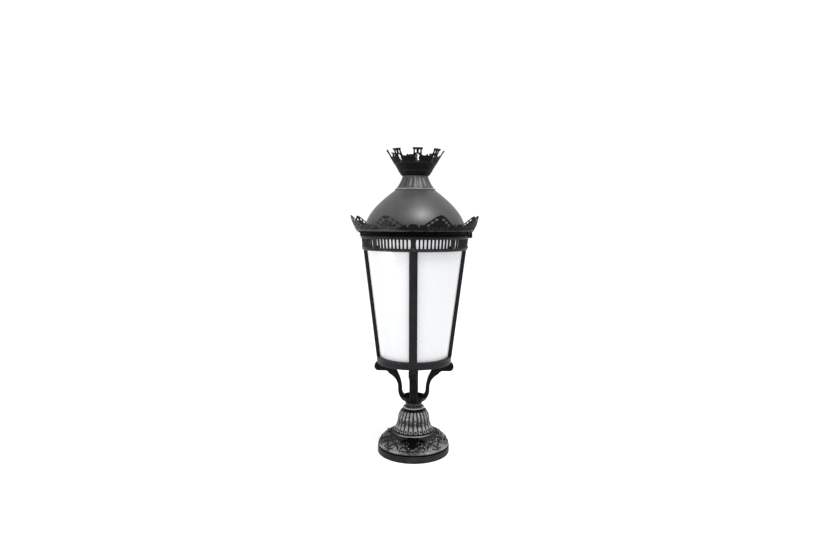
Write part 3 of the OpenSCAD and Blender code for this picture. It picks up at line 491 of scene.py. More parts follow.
copper = metal_finish(
    "winding_copper", "zinc_steel", (0.42, 0.16, 0.07), (0.6, 0.25, 0.12), (0.8, 0.4, 0.2),
    0.3, 0.45, metallic=0.9, worn_metallic=1.0, grain=0.6)
print("metal finishes:", [m.name for m in bpy.data.materials if "slot" in m.keys()])

# %% Sheets, plastics and rubber
def moulded_finish(name, slot, low, high, smooth, rough, scale=60, bump=0.00003, transmission=0.0):
    """A moulded or extruded finish: two close tones, a faint ripple and a soft gloss."""
    mat, tree, shader, place = blank_material(name, slot)
    cloud = noise(tree, place, scale, 3)
    ripple = noise(tree, place, scale * 9, 2)
    tree.links.new(blend_colours(tree, between(tree, cloud, 0.35, 0.65), low, high),
                   shader.inputs["Base Color"])
    tree.links.new(between(tree, ripple, 0.3, 0.7, smooth, rough), shader.inputs["Roughness"])
    add_relief(tree, shader, ripple, bump)
    shader.inputs["IOR"].default_value = 1.46
    shader.inputs["Transmission Weight"].default_value = transmission
    return mat


opal = moulded_finish("opal_face", "opal_sheet", (0.464, 0.469, 0.480), (0.468, 0.473, 0.484),
                      0.24, 0.3, 9, 0.00001)
rubber = moulded_finish("black_rubber", "rubber", (0.012, 0.012, 0.012), (0.022, 0.022, 0.022),
                        0.6, 0.78, 120)
white_plastic = moulded_finish("gear_plastic", "white_plastic", (0.74, 0.74, 0.71),
                               (0.8, 0.8, 0.77), 0.38, 0.5)
frosted = moulded_finish("frosted_glass", "lamp_glass", (0.93, 0.93, 0.93), (0.97, 0.97, 0.97),
                         0.3, 0.4, 40, transmission=0.6)
print("moulded finishes:", opal.name, rubber.name, white_plastic.name, frosted.name)

# %% Painted glow on the opal sheets
opal_tree = opal.node_tree
opal_shader = opal_tree.nodes["Principled BSDF"]
opal_place = opal_tree.nodes.new("ShaderNodeSeparateXYZ")
opal_tree.links.new(opal_tree.nodes["Texture Coordinate"].outputs["Object"],
                    opal_place.inputs["Vector"])
# The sheets glow though the lamp is off: a painted glow, faint over the open sheet and stronger
# above the frieze's lower edge, behind the slots.
behind_frieze = between(opal_tree, opal_place.outputs["Z"], z_frieze * MM, (z_frieze + 9) * MM)
painted_glow = blend_colours(opal_tree, behind_frieze, (0.133, 0.136, 0.142), (0.52, 0.53, 0.55))
opal_tree.links.new(painted_glow, opal_shader.inputs["Emission Color"])
opal_shader.inputs["Emission Strength"].default_value = 1.0
print("the sheets glow more above", z_frieze, "mm")

# %% [markdown]
# ## The foot
#
# The foot is one iron casting: a plain plinth, a groove, and a rounded shoulder covered in leaf
# work. The shoulder is a turned profile, and the leaf work moves its points along the radius. Fans
# of leaflets grow from the plinth and small scrolls curl between them, as in acanthus ornament.

# %% Leaf work
shoulder_z = 31.0


def shoulder_radius(z):
    """The shoulder's outline: 89 + 55 (1 - v^1.6)^0.8, where v is the share of its height."""
    v = np.clip((z - shoulder_z) / (z_bell - shoulder_z), 0, 1)
    return bell_ring_r + 1 + (foot_r - bell_ring_r - 2) * (1 - v**1.6) ** 0.8


def leaf_fan(x, y, x0, y0, reach, leaflets, spread):
    """A fan of leaflets round (x0, y0), with a scalloped edge: each leaflet has a raised back."""
    dx, dy = x - x0, y - y0
    rho, phi = np.hypot(dx, dy), np.arctan2(dx, dy)
    wave = np.cos(leaflets * phi)
    edge = reach * (0.74 + 0.26 * np.sqrt(np.clip(0.5 + 0.5 * wave, 0, 1)))
    inside = ease((edge - rho) / 2.2) * ease((spread - np.abs(phi)) / 0.12)
    vein = 0.45 * np.exp(-((np.sin(leaflets * phi / 2) * rho / 1.5) ** 2))
    return inside * (0.4 + 0.42 * wave * np.clip(rho / 7, 0, 1) + 0.3 * rho / reach - vein)


def scroll(x, y, x0, y0, reach, turn):
    """A curl: a ridge cos(2 pi rho / pitch - phi) that winds in to (x0, y0)."""
    dx, dy = (x - x0) * turn, y - y0
    rho, phi = np.hypot(dx, dy), np.arctan2(dy, dx)
    return ease((reach - rho) / 2) * (0.45 + 0.45 * np.cos(2 * np.pi * rho / 7.0 - phi))


# each mirrored fan: place across and up in mm, reach, number of leaflets and half its spread
fans = [(44, 11, 25, 7, 1.8), (22, 40, 18, 7, 3.2), (77, 14, 17, 6, 2.6), (60, 44, 13, 5, 3.2),
        (14, 58, 12, 5, 3.2)]
# each mirrored scroll: place across and up in mm, reach and the way it turns
curls = [(27, 21, 9.5, 1), (45, 36, 9, -1)]


def leaf_work(angle, s, length):
    """Height of the leaf work in millimetres at an angle and at s along the shoulder.

    A quarter of the foot holds a middle fan, mirrored pairs of fans and scrolls, and a top scroll.
    The highest of them counts, and crossed waves break their surface up.
    """
    q = (np.degrees(angle) % 90 - 45) / 45
    x = q * (98 - 0.3 * s)
    relief = np.maximum(leaf_fan(x, s, 0, 12, 30, 7, 1.7), scroll(x, s, 0, 47, 8, 1))
    for side in (-1, 1):
        for x0, y0, *fan in fans:
            relief = np.maximum(relief, leaf_fan(x, s, side * x0, y0, *fan))
        for x0, y0, reach, turn in curls:
            relief = np.maximum(relief, scroll(x, s, side * x0, y0, reach, side * turn))
    crumbs = (0.75 * np.sin(1.1 * x + 2.1 * np.sin(0.8 * s))
              * np.sin(1.2 * s + 1.7 * np.sin(0.7 * x)))
    fronds = (0.8 * np.sin(0.62 * x + 2.6 * np.sin(0.31 * s + 0.2 * x))
              * np.sin(0.66 * s + 2.2 * np.sin(0.27 * x)))
    fade = ease((s - 8) / 4) * ease((length - 4 - s) / 6)
    return fade * (2.9 * relief - 1.5 + crumbs + fronds)


# %% The foot casting
groove_d = 6.5
foot_wall = 12.0
outer = [[foot_r - 1.5, 0], [foot_r, 1.5], [foot_r, shoulder_z - 5.8],
         [foot_r - 1.4, shoulder_z - 5], [foot_r - groove_d, shoulder_z - 4.2],
         [foot_r - groove_d, shoulder_z - 0.6], [foot_r - 1.6, shoulder_z - 0.2]]
rise = shoulder_z + (z_bell - shoulder_z) * np.linspace(0, 1, 160) ** 0.8
shoulder = resample(np.stack([shoulder_radius(rise), rise], -1), 1.05)
cavity = [[bell_ring_r - 2, z_bell - 0.01], [bore_r, z_bell - 0.01], [bore_r, z_bell - 8],
          [73, z_bell - 8], [foot_r - 44, z_bell - 20], [foot_r - 24, shoulder_z + 16],
          [foot_r - foot_wall, shoulder_z + 6], [foot_r - foot_wall, 0]]
plinth = resample(soften(outer + [[bell_ring_r, z_bell]], 0.8, 4)[:-4], 1.0)
profile = np.concatenate([plinth, shoulder, cavity])
along = path_length(shoulder)
tangent = np.gradient(shoulder, axis=0)
normal = np.stack([tangent[:, 1], -tangent[:, 0]], -1) / np.linalg.norm(tangent, axis=1)[:, None]
angle = even_angles(720)[:, None]
relief = leaf_work(angle, along[None, :], along[-1])
on_shoulder = slice(len(plinth), len(plinth) + len(shoulder))
foot_grid = np.repeat(profile[None], len(angle), 0)
foot_grid[:, on_shoulder] += relief[..., None] * normal
foot_shell = wrapped(foot_grid, angle)
print("leaf work:", relief.min().round(1), "to", relief.max().round(1), "mm on the shoulder")

# %% Wear, painted light and painted shade on the foot
patch = hump(np.abs((np.degrees(angle) + 45) % 90 - 45), 29, 11)
# Raised leaf work is lighter and its hollows darker: wear on the raised parts, grime and painted
# shade in the hollows.
high_spots = np.clip((relief + 0.85) / 2.4, -0.9, 1) * 0.74 * ease((along - 9) / 3)[None, :]
# A band over the groove and patches beside each shield are lighter: partly wear, partly painted
# highlight.
rim_band = (0.5 + 0.3 * patch) * (ease((15 - along) / 6) * ease((along - 0.8) / 2.2))[None, :]
bright_patch = 0.5 * patch * hump(along, 15, 7)[None, :]
# Darker where the shoulder meets the groove: grime and painted shade.
corner_grime_and_shade = 0.9 * ease((1.6 - along) / 1.4)[None, :]
lit_side = 0.12 * np.cos(angle + np.radians(40))
foot_crest = np.zeros(foot_grid.shape[:2])
foot_crest[:, on_shoulder] = high_spots + rim_band + bright_patch - corner_grime_and_shade + lit_side
# The plinth's groove is drawn at -1, painted shade with grime; its face gets slight wear.
foot_crest[:, :len(plinth)] = np.where(plinth[:, 0] < foot_r - 1.2, -1.0, 0.3)[None, :]
bolt_circle_r, tapped_r, boss_r, boss_h = 115, 4.25, 12, 50
boss = soften([[tapped_r, 0], [boss_r, 0], [boss_r, boss_h], [tapped_r, boss_h]], 0.8)
foot_bosses = [turned(boss, 32, (bolt_circle_r * math.cos(a), bolt_circle_r * math.sin(a)))
               for a in np.radians([45, 135, 225, 315])]
boss_crests = [np.zeros(len(verts)) for verts, _ in foot_bosses]
make_piece("foot_casting", [foot_shell] + foot_bosses, foot_iron, "lantern", ["foot"],
           crest=np.concatenate([foot_crest.ravel()] + boss_crests))

# %% [markdown]
# ## The four shields
#
# A shield stands proud of the leaf work below each arm. It is a plate whose profile runs up the
# shoulder and rolls over at the top, and it narrows to a blunt point at the bottom. The front and
# back ones are smooth and near-black, which is painted shade. The side ones are veined like a leaf,
# and the veins are only wear.

# %% Shield plates
def shield_half(z):
    """Half width of a shield by height: a blunt point, widest 10 mm under the bell, a low arch."""
    heights = [-27, -17.5, -12.5, -10, -8, -3, 2, 4.8, 5.6]
    return np.interp(z - z_bell, heights, [3, 24, 45, 46, 45, 32, 20, 10, 1])


def shield(degrees):
    """A plate on the shoulder: x = sqrt(r(z)^2 - y^2) less a rolled edge, 5 mm inside behind."""
    low = np.linspace(z_bell - 27, z_bell - 8, 14)
    path = np.concatenate([np.stack([shoulder_radius(low) + 1.6, low], -1),
                           [[bell_ring_r + 19, z_bell + 3], [bell_ring_r + 14, z_bell + 5],
                            [bell_ring_r + 9, z_bell + 4], [bell_ring_r + 4, z_bell - 2]]])
    path = resample(path, 1.2)
    r, z = path[:, :1], path[:, 1:]
    u = np.linspace(-1, 1, 37)[None, :]
    y = shield_half(z) * u
    edge = 3 * (1 - np.sqrt(1 - np.clip((np.abs(u) - 0.88) / 0.12, 0, 0.999) ** 2))
    face = np.sqrt(r**2 - y**2) - edge
    back_z = np.minimum(z, z_bell - 3)
    back_y = y[:, ::-9] * 0.97
    back_x = np.sqrt(np.maximum((shoulder_radius(back_z) - 5) ** 2 - back_y**2, 60**2))
    back = spread(np.minimum(back_x, face[:, ::-9] - 1), back_y, back_z)
    return about_axis(band(np.concatenate([spread(face, y, z), back], 1), caps=True), degrees)


plates = [shield(a) for a in (90, 270)]
plate_rub = [np.where(from_axis(verts) > bell_ring_r + 2, 0.12, 0.0) for verts, _ in plates]
make_piece("foot_shields", plates, painted_shade_black, "lantern", ["foot"],
           crest=np.concatenate(plate_rub))

side_plates = [shield(a) for a in (0, 180)]
veins = [0.3 + 0.5 * np.cos(verts[:, 1] * 1.05 + 0.5 * np.sin(0.4 * verts[:, 2]))
         - 0.25 * np.cos(0.55 * (verts[:, 2] - z_bell)) for verts, _ in side_plates]
make_piece("foot_side_leaves", side_plates, foot_iron, "lantern", ["foot"],
           crest=np.concatenate(veins))

# %% [markdown]
# ## The gadrooned bell
#
# Gadroons are the round lobes of old silver and stonework. Each of the 24 lobes is an arch across
# its width. It ends blunt at both ends, is flattest at the waist and has a small dimple low down.

# %% Gadroons
lobes, per_lobe = 24, 22
bell_rows = 116
waist_r = 65.0
skirt_z = z_bell + 4
cap_z = z_collar - 7


def bell_line(z):
    """The bell over its crests: waist_r at the waist, out to the skirt and in to the collar."""
    v = (z - z_bell) / (z_collar - z_bell)
    skirt = 18 * np.maximum(0, (0.459 - v) / 0.378) ** 1.5
    return waist_r + skirt - 24 * np.maximum(0, (v - 0.439) / 0.582) ** 2.6


steps = np.arange(lobes * per_lobe)
theta = (2 * np.pi * steps / len(steps))[:, None]
u = (2 * (steps % per_lobe) / per_lobe - 1)[:, None]
z = skirt_z + (cap_z - skirt_z) * (0.5 - 0.5 * np.cos(np.linspace(0, np.pi, bell_rows)))[None, :]
v = (z - skirt_z) / (cap_z - skirt_z)
arch = np.sqrt(1 - 0.985 * u * u)
low = round_end((z - skirt_z - 3 - 4 * (1 - arch)) / 6)
high = round_end((cap_z - z - 3 * (1 - arch)) / 5)
ends = np.minimum(low, high)
waist = hump(v, 0.5, 0.17)
depth = 4.6 * (1 - 0.66 * waist)
dimple = 2.3 * np.exp(-(u / 0.4) ** 2 - ((z - skirt_z - 12.5) / 4.6) ** 2)
radius = bell_line(z) - depth * (1 - arch) * ends - (1 - low) * 8 - (1 - high) * 4 - dimple
print("lobes:", lobes, "radius:", radius.min().round(1), "to", radius.max().round(1), "mm")

# %% The bell casting and its ring
inner = np.array([[collar_r - 5, cap_z + 0.2], [collar_r - 5, z_collar], [bore_r, z_collar],
                  [bore_r, z_collar - 14], [30.5, z_collar - 14], [52, z_bell + 54],
                  [52, skirt_z + 26], [60.5, skirt_z + 4], [60.5, skirt_z],
                  [bell_line(skirt_z) - 8.2, skirt_z - 0.2]])
bell_grid = np.concatenate([spread(radius, z), np.repeat(inner[None], len(u), 0)], 1)
bell_wear_and_shade = np.zeros(bell_grid.shape[:2])
# Lobe crests lighter, for wear and painted highlights; painted shade between the lobes, at their
# blunt ends and in the dimples; less bright at the waist and lighter towards the skirt.
bell_wear_and_shade[:, :bell_rows] = np.clip(
    0.86 * arch**1.3 * (0.3 + 0.7 * ends) - 0.04 - 0.3 * waist - 0.5 * dimple
    + 0.2 * ease((0.4 - v) / 0.2) - 0.55 * (1 - arch) ** 1.6 * (1 - 0.85 * waist)
    - 1.5 * (1 - ends) ** 1.4, -1, 1)
# The plain neck under the collar is drawn at -1: painted shade in the gap under the collar.
bell_wear_and_shade[:, bell_rows:bell_rows + 2] = -1
bell_ring = turned(soften([[bell_ring_r - 1.2, z_bell], [bell_ring_r, z_bell + 0.8],
                           [bell_ring_r, z_bell + 3], [bell_ring_r - 1.6, skirt_z + 0.2],
                           [66, skirt_z + 0.4], [66, z_bell]], 1.0, 5), 256)
ring_turn = np.arctan2(bell_ring[0][:, 1], bell_ring[0][:, 0])
# The ring's lip is lighter at the front and back than at the sides, a painted highlight; inside the
# lip it is dark, painted shade.
ring_wear_and_light = np.where(from_axis(bell_ring[0]) > bell_ring_r - 3,
                    0.6 - 0.3 * np.cos(2 * ring_turn), -0.8)
make_piece("gadrooned_bell", [wrapped(bell_grid, theta), bell_ring], pewter, "lantern", ["bell"],
           crest=np.concatenate([bell_wear_and_shade.ravel(), ring_wear_and_light]))

# %% [markdown]
# ## The collar
#
# Two beads between the bell and the yoke: a bright lower one and a smaller upper one. Beads are
# half rounds, so the profile is written as points on two arcs.

# %% Collar beads
def half_round(middle_r, middle_z, wide, high, count):
    """A bead's profile: (r + wide cos a, z + high sin a) from the lowest point out and up."""
    a = np.linspace(-0.5 * np.pi, 0.5 * np.pi, count)
    return np.stack([middle_r + wide * np.cos(a), middle_z + high * np.sin(a)], -1)


bead_points = 14
lower_bead = half_round(collar_r - 3, z_collar + 3.1, 3, 3.0, bead_points)
upper_bead = half_round(31, z_collar + 8.4, 2.2, 1.7, bead_points)
collar_loop = np.concatenate([[[bore_r, z_collar], [collar_r - 4, z_collar]], lower_bead,
                              [[33.5, z_collar + 6.4], [31.5, z_collar + 6.6]], upper_bead,
                              [[31, z_yoke], [bore_r, z_yoke]]])
collar_turns = 192
beads = np.zeros(len(collar_loop))
beads[2:2 + bead_points] = 1.0
beads[4 + bead_points:4 + 2 * bead_points] = 0.45
make_piece("collar_beads", [turned(collar_loop, collar_turns)], pewter, "lantern", ["collar"],
           crest=np.tile(beads, collar_turns))

# %% [markdown]
# ## The yoke
#
# The yoke is one casting: a neck that opens to a cup, and four arms that rise from the cup, sweep
# out and end in a round scroll under the lower ring. An arm is drawn as one closed outline, and the
# outline is carried across its width, a little smaller at both sides, so that its edges are round.

# %% The outline of an arm
yoke_h = z_ring - z_yoke
arm_w = 33.0
belly_r = 63.5
scroll_r = 18.0
scroll_x = ring_r + 8.5 - scroll_r
scroll_z = z_ring - scroll_r


def yoke_z(share):
    """Height at a share of the yoke's height."""
    return z_yoke + yoke_h * share


s = np.linspace(0, 1, 24)
bowl = 0.1 + 0.26 * s
turn_out = np.radians(np.linspace(-95, 70, 30))
outer_line = np.concatenate([
    np.stack([belly_r * np.sqrt(1 - ((0.36 - bowl) / 0.34) ** 2), yoke_z(bowl)], -1),
    np.stack([belly_r + (scroll_x - 42 - belly_r) * s[1:] ** 3, yoke_z(0.36 + 0.375 * s[1:])], -1),
    [[scroll_x - 37, z_ring - 2 * scroll_r - 4], [scroll_x - 29, z_ring - 2 * scroll_r]],
    np.stack([scroll_x + scroll_r * np.cos(turn_out), scroll_z + scroll_r * np.sin(turn_out)], -1),
    [[scroll_x + 6, z_ring]]])
inner_line = np.concatenate([
    np.stack([belly_r - 16.5 + (scroll_x - 29 - belly_r) * s[::-1] ** 2.2,
              yoke_z(0.317 + 0.683 * s[::-1])], -1),
    [[belly_r - 20, yoke_z(0.27)], [belly_r - 26, yoke_z(0.215)], [30, yoke_z(0.13)],
     [30, yoke_z(0.1)]]])
arm_loop = np.concatenate([outer_line, inner_line])
print("arm outline:", len(arm_loop), "points, width", arm_w, "mm")

# %% Arms, scrolls and cup
def rounded_plate(loop, width, edge, step=2.2, rows=7):
    """A closed outline (x, z) carried across y, with round edges.

    At a turn b from 0 to 90 degrees the outline is drawn in by edge (1 - sin b), and it lies at
    y = width / 2 - edge (1 - cos b) on either side.
    """
    p = even_loop(loop, step)
    b = np.linspace(0, np.pi / 2, rows)
    draw_in = edge * np.concatenate([1 - np.sin(b), 1 - np.sin(b[::-1])])
    side = width / 2 - edge * (1 - np.cos(b))
    y = np.concatenate([-side, side[::-1]])
    grid = p[None] + inwards(p)[None] * draw_in[:, None, None]
    return band(spread(grid[..., 0], y[:, None], grid[..., 1]), caps=True)


def scroll_eye(side):
    """A coil on a scroll's side: a ridge 0.7 mm proud round a spiral r = 13 (1 - t) + 2.6 t."""
    t = np.linspace(0, 1, 60)
    turn = (2 * np.pi * 1.35 * t + 0.6)[:, None]
    r = 13 * (1 - t) + 2.6 * t
    thick = 1.7 * np.sqrt(np.clip(1 - t**6, 0.02, 1))
    b = even_angles(10)
    rho = r[:, None] + thick[:, None] * np.cos(b)
    proud = side * (arm_w / 2 - 0.2 + 0.9 * np.sin(b))
    ridge = spread(scroll_x + rho * np.cos(turn), proud, scroll_z + rho * np.sin(turn))
    return band(ridge, caps=True)


def arm_wear_and_highlight(verts):
    """1.1 on the outer face of the scroll of the arm that points along x, a painted highlight with
    some wear, and 0.1 elsewhere.
    """
    face = ((verts[:, 0] > scroll_x + 12) & (np.abs(verts[:, 2] - scroll_z - 8) < 8)
            & (np.abs(verts[:, 1]) < 11))
    return np.where(face, 1.1, 0.1)


arm_parts = [rounded_plate(arm_loop, arm_w, 5.0)] + [scroll_eye(side) for side in (-1, 1)]
arms = [about_axis(part, a) for a in (0, 90, 180, 270) for part in arm_parts]
cup = turned(soften([[bore_r, z_yoke], [31, z_yoke], [32.5, z_yoke + 2], [33, yoke_z(0.04)],
                     [33.5, yoke_z(0.062)], [38, yoke_z(0.083)], [43, yoke_z(0.116)],
                     [46.5, yoke_z(0.148)], [49, yoke_z(0.17)], [51.5, yoke_z(0.208) - 2],
                     [50.5, yoke_z(0.208)], [46.5, yoke_z(0.208)], [39, yoke_z(0.16)],
                     [25, yoke_z(0.13)], [bore_r, yoke_z(0.13)]], 2, 4), 128)
# The yoke's neck below the cup is drawn lighter, as a band.
lighter_neck_band = np.where((cup[0][:, 2] < yoke_z(0.075)) & (from_axis(cup[0]) > 30), 0.8, 0.0)
make_piece("yoke_casting", [cup] + arms, yoke_shaded_black, "lantern", ["yoke"],
           crest=np.concatenate([lighter_neck_band] + [arm_wear_and_highlight(verts) for verts, _ in arm_parts] * 4))

# %% [markdown]
# ## The lower ring and the bars
#
# A plain band carries the four bars. Each bar is stepped: a flange lies on the opal sheets and a
# narrower rib stands proud of it, so it reads as dark, light and dark from the front.

# %% Lower ring
groove_in, groove_out = 131.97, 136.6
tray_hole = groove_in - 6.5
ring_wall = 6.0
lower_loop = soften([
    [tray_hole - 9, z_ring], [ring_r - 4, z_ring], [ring_r - 2.4, z_ring + 2],
    [ring_r - 0.9, z_body - 6], [ring_r, z_body - 4.4], [ring_r, z_body - 0.6],
    [ring_r - 0.8, z_body], [groove_out, z_body], [groove_out, z_body - ring_wall],
    [groove_in, z_body - ring_wall], [groove_in, z_body], [tray_hole, z_body],
    [tray_hole, z_ring + ring_wall], [tray_hole - 9, z_ring + ring_wall]], 0.7, 4)
ring_shell = turned(lower_loop, 256)
lip = from_axis(ring_shell[0]) > ring_r - 0.5
make_piece("lower_band", [ring_shell], satin_black, "lantern", ["lower_ring"],
           crest=np.where(lip, 0.6, 0.1))

# %% Bars
bar_t = 15.0
rib_half, flange_half, rib_proud = 11.0, 15.5, 3
tongue_half, tongue_h, tongue_back = 10.0, 24.0, 2.4


def bar_radius(z):
    """Outer face of a bar: a straight line from the lower ring to the frieze."""
    return ring_r + (body_r - ring_r) * (z - z_body) / (z_frieze - z_body)


section = soften([[-bar_t, -flange_half], [-rib_proud, -flange_half], [-rib_proud, -rib_half],
                  [0, -rib_half], [0, rib_half], [-rib_proud, rib_half],
                  [-rib_proud, flange_half], [-bar_t, flange_half]], 1.1, 4)
levels = np.linspace(z_body, z_frieze, 12)
bar = spread(bar_radius(levels)[:, None] + section[:, 0], section[:, 1], levels[:, None])
bar_crest = np.tile(np.where(section[:, 0] > -0.6, 0.3, 0.0), len(levels))

tongue = soften([[-20.7, -tongue_half], [-tongue_back, -tongue_half], [-tongue_back, tongue_half],
                 [-20.7, tongue_half]], 1, 3)
tongue_z = np.linspace(z_frieze - 2, z_frieze + tongue_h, 3)
tongue_in = bar_radius(z_frieze + tongue_h) - bar_t - 0.3 + 1.3
tongue_x = np.where(tongue[:, 0] < -10, tongue_in, body_r - tongue_back)
tongue_box = spread(tongue_x, tongue[:, 1], tongue_z[:, None])
bar_parts = [band(bar, caps=True), band(tongue_box, caps=True)]
rail_crest = np.concatenate([bar_crest, np.zeros(len(tongue) * len(tongue_z))])
for node, degrees in (("bar_front", 270), ("bar_right", 0), ("bar_back", 90), ("bar_left", 180)):
    make_piece("rail_" + node[4:], [about_axis(part, degrees) for part in bar_parts], satin_black,
               "lantern", [node], crest=rail_crest)

# %% [markdown]
# ## The frieze
#
# Eighty slots let the opal sheets show. The ring is three things cast as one: a bottom rail, a top
# rail and the little balusters between them, with a wider post every 45 degrees for a screw.

# %% Rails, balusters and posts
slot_inset = 0.21 * (z_top - z_frieze)
slot_lo, slot_hi = z_frieze + slot_inset, z_top - slot_inset
wall_lo, wall_hi = frieze_r - 8, frieze_r - 4.2
ledge_r, gutter_r, skirt_r = 189.5, 202.3, 194.5
pitch = 45 / 11
baluster_w = 2 * math.pi * frieze_r / 360 * pitch - frieze_r * math.sin(math.radians(pitch)) * 0.5
post_w = 2 * (frieze_r * math.radians(pitch) - 3.8)
print("baluster", round(baluster_w, 1), "mm wide, post", round(post_w, 1), "mm wide")
bottom_rail = soften([
    [ledge_r, z_frieze], [body_r + 2, z_frieze], [wall_lo + 1.6, z_frieze + 2.5],
    [wall_lo + 1.6, z_frieze + 6.5], [wall_lo - 0.4, z_frieze + 8.6], [wall_lo + 0.2, slot_lo],
    [wall_lo - 5, slot_lo], [wall_lo - 5, z_frieze + 6], [ledge_r, z_frieze + 6]], 0.8, 4)
top_rail = soften([
    [wall_hi - 5, slot_hi - 0.3], [wall_hi + 0.2, slot_hi - 0.3], [frieze_r - 1.6, slot_hi + 2.6],
    [frieze_r, slot_hi + 4.6], [frieze_r, z_top - 3], [frieze_r - 1.5, z_top], [gutter_r, z_top],
    [gutter_r, z_top - 8], [skirt_r, z_top - 8], [skirt_r, slot_hi + 0.5]], 0.8, 4)


def upright(degrees, width, proud, steps=12):
    """A post from the bottom rail to the top rail: half an ellipse in front, flat behind."""
    b = np.linspace(-1, 1, steps)
    nose = np.stack([proud * np.sqrt(1 - b**2), width / 2 * b], -1)
    back = np.array([[-4.6, width / 2 - 0.4], [-4.6, -width / 2 + 0.4]])
    cut = np.concatenate([nose, back])
    at = np.linspace(slot_lo - 1, slot_hi + 1, 7)[:, None]
    face = np.interp(at, [slot_lo, slot_hi], [wall_lo - 0.9, wall_hi - 0.9])
    swell = 1 - 0.18 * np.sin(np.pi * np.clip((at - slot_lo) / (slot_hi - slot_lo), 0, 1))
    return about_axis(band(spread(face + cut[:, 0], cut[:, 1] * swell, at), caps=True), degrees)


def screw_seat(degrees):
    """A round seat for a screw head: rings round the radius, 1.2 mm out of the bottom rail."""
    b = even_angles(28)
    rings = np.array([[wall_lo - 3, 5.4], [wall_lo + 0.6, 5.4], [wall_lo + 1.0, 5.2],
                      [wall_lo + 1.2, 4.8]])
    x, r = rings[:, :1], rings[:, 1:]
    grid = spread(x, r * np.cos(b), z_frieze + 12 + r * np.sin(b))
    return about_axis(band(grid, caps=True), degrees)


# %% The frieze put together
small_parts = [upright(45 * bay + pitch * k, baluster_w, 1.3) for bay in range(8)
               for k in np.arange(1.5, 10)]
small_parts += [upright(45 * bay, post_w, 1.0, 16) for bay in range(8)]
small_parts += [screw_seat(45 * bay) for bay in range(8)]
lug = soften([[frieze_r - 6, z_top - 9], [frieze_r + 8, z_top - 9], [frieze_r + 11, z_top - 6],
              [frieze_r + 11, z_top], [frieze_r + 6, z_top + 3], [frieze_r - 3, z_top - 1]], 1.5, 4)
for side in (-1, 1):
    lug_y = side * np.linspace(11.9, 19.7, 4)[:, None]
    small_parts.append(band(spread(lug[:, 0], lug_y, lug[:, 1]), caps=True))
rails = [turned(bottom_rail, 256), turned(top_rail, 256)]
frieze_rub = [np.where(from_axis(verts) > edge, most, 0.0) for (verts, _), edge, most
              in zip(rails, (wall_lo + 1.2, frieze_r - 0.4), (0.7, 0.25))]
frieze_rub += [np.where(from_axis(verts) > wall_lo, 0.35, 0.0) for verts, _ in small_parts]
make_piece("pierced_frieze", rails + small_parts, satin_black, "lantern", ["frieze_ring"],
           crest=np.concatenate(frieze_rub))

# %% [markdown]
# ## Pierced sheets
#
# The cresting and the crown are thin castings with holes, so they can't be plain grids. Their
# outline and holes are drawn flat, a constrained Delaunay triangulation fills what is between
# them, and the flat sheet is then bent over the flared surface and given its thickness.

# %% Flat sheets with holes
def inside(points, loop):
    """Even-odd rule: from inside, a ray to the right crosses the loop an odd number of times."""
    a, b = loop, np.roll(loop, -1, 0)
    px, py = points[:, 0][:, None], points[:, 1][:, None]
    spans = (a[None, :, 1] > py) != (b[None, :, 1] > py)
    with np.errstate(divide="ignore", invalid="ignore"):
        cross = a[None, :, 0] + (py - a[None, :, 1]) * (b - a)[None, :, 0] / (b - a)[None, :, 1]
    return (np.sum(spans & (px < cross), 1) % 2).astype(bool)


def distance(points, loops):
    """Shortest distance from each point to any edge of the loops."""
    best = np.full(len(points), np.inf)
    for loop in loops:
        d = np.roll(loop, -1, 0) - loop
        rel = points[:, None] - loop[None]
        t = np.clip((rel * d[None]).sum(-1) / np.maximum((d * d).sum(-1), 1e-12)[None], 0, 1)
        best = np.minimum(best, np.linalg.norm(rel - t[..., None] * d[None], axis=-1).min(1))
    return best


def lattice_over(outline, step):
    """Points in rows that are set off by half a step, over the outline's box."""
    lo, hi = outline.min(0), outline.max(0)
    gx, gy = np.meshgrid(np.arange(lo[0] + step / 2, hi[0], step),
                         np.arange(lo[1] + step / 2, hi[1], step * 0.87))
    gx[1::2] += step / 2
    return np.stack([gx.ravel(), gy.ravel()], -1)


def flat_sheet(outline, holes, step, inset):
    """Points and triangles of a flat sheet: loops, a row of points beside them, and a lattice."""
    loops = [outline] + holes

    def on_sheet(points):
        """Inside the outline and outside every hole."""
        return inside(points, outline) & ~np.any([inside(points, hole) for hole in holes], 0)

    rim = np.concatenate([outline + inwards(outline) * inset]
                         + [hole - inwards(hole) * inset for hole in holes])
    rim = rim[on_sheet(rim)]
    rim = rim[distance(rim, loops) > 0.8 * inset]
    lattice = lattice_over(outline, step)
    lattice = lattice[on_sheet(lattice)]
    lattice = lattice[distance(lattice, loops) > 1.7 * inset]
    edges, at = [], 0
    for loop in loops:
        edges += [(at + i, at + (i + 1) % len(loop)) for i in range(len(loop))]
        at += len(loop)
    flat_points = np.concatenate(loops + [rim, lattice])
    out = delaunay_2d_cdt(flat_points.tolist(), edges, [], 0, 1e-5, False)
    points = np.array([list(p) for p in out[0]])
    triangles = np.array([f for f in out[2] if len(f) == 3])
    return points, triangles[on_sheet(points[triangles].mean(1))]


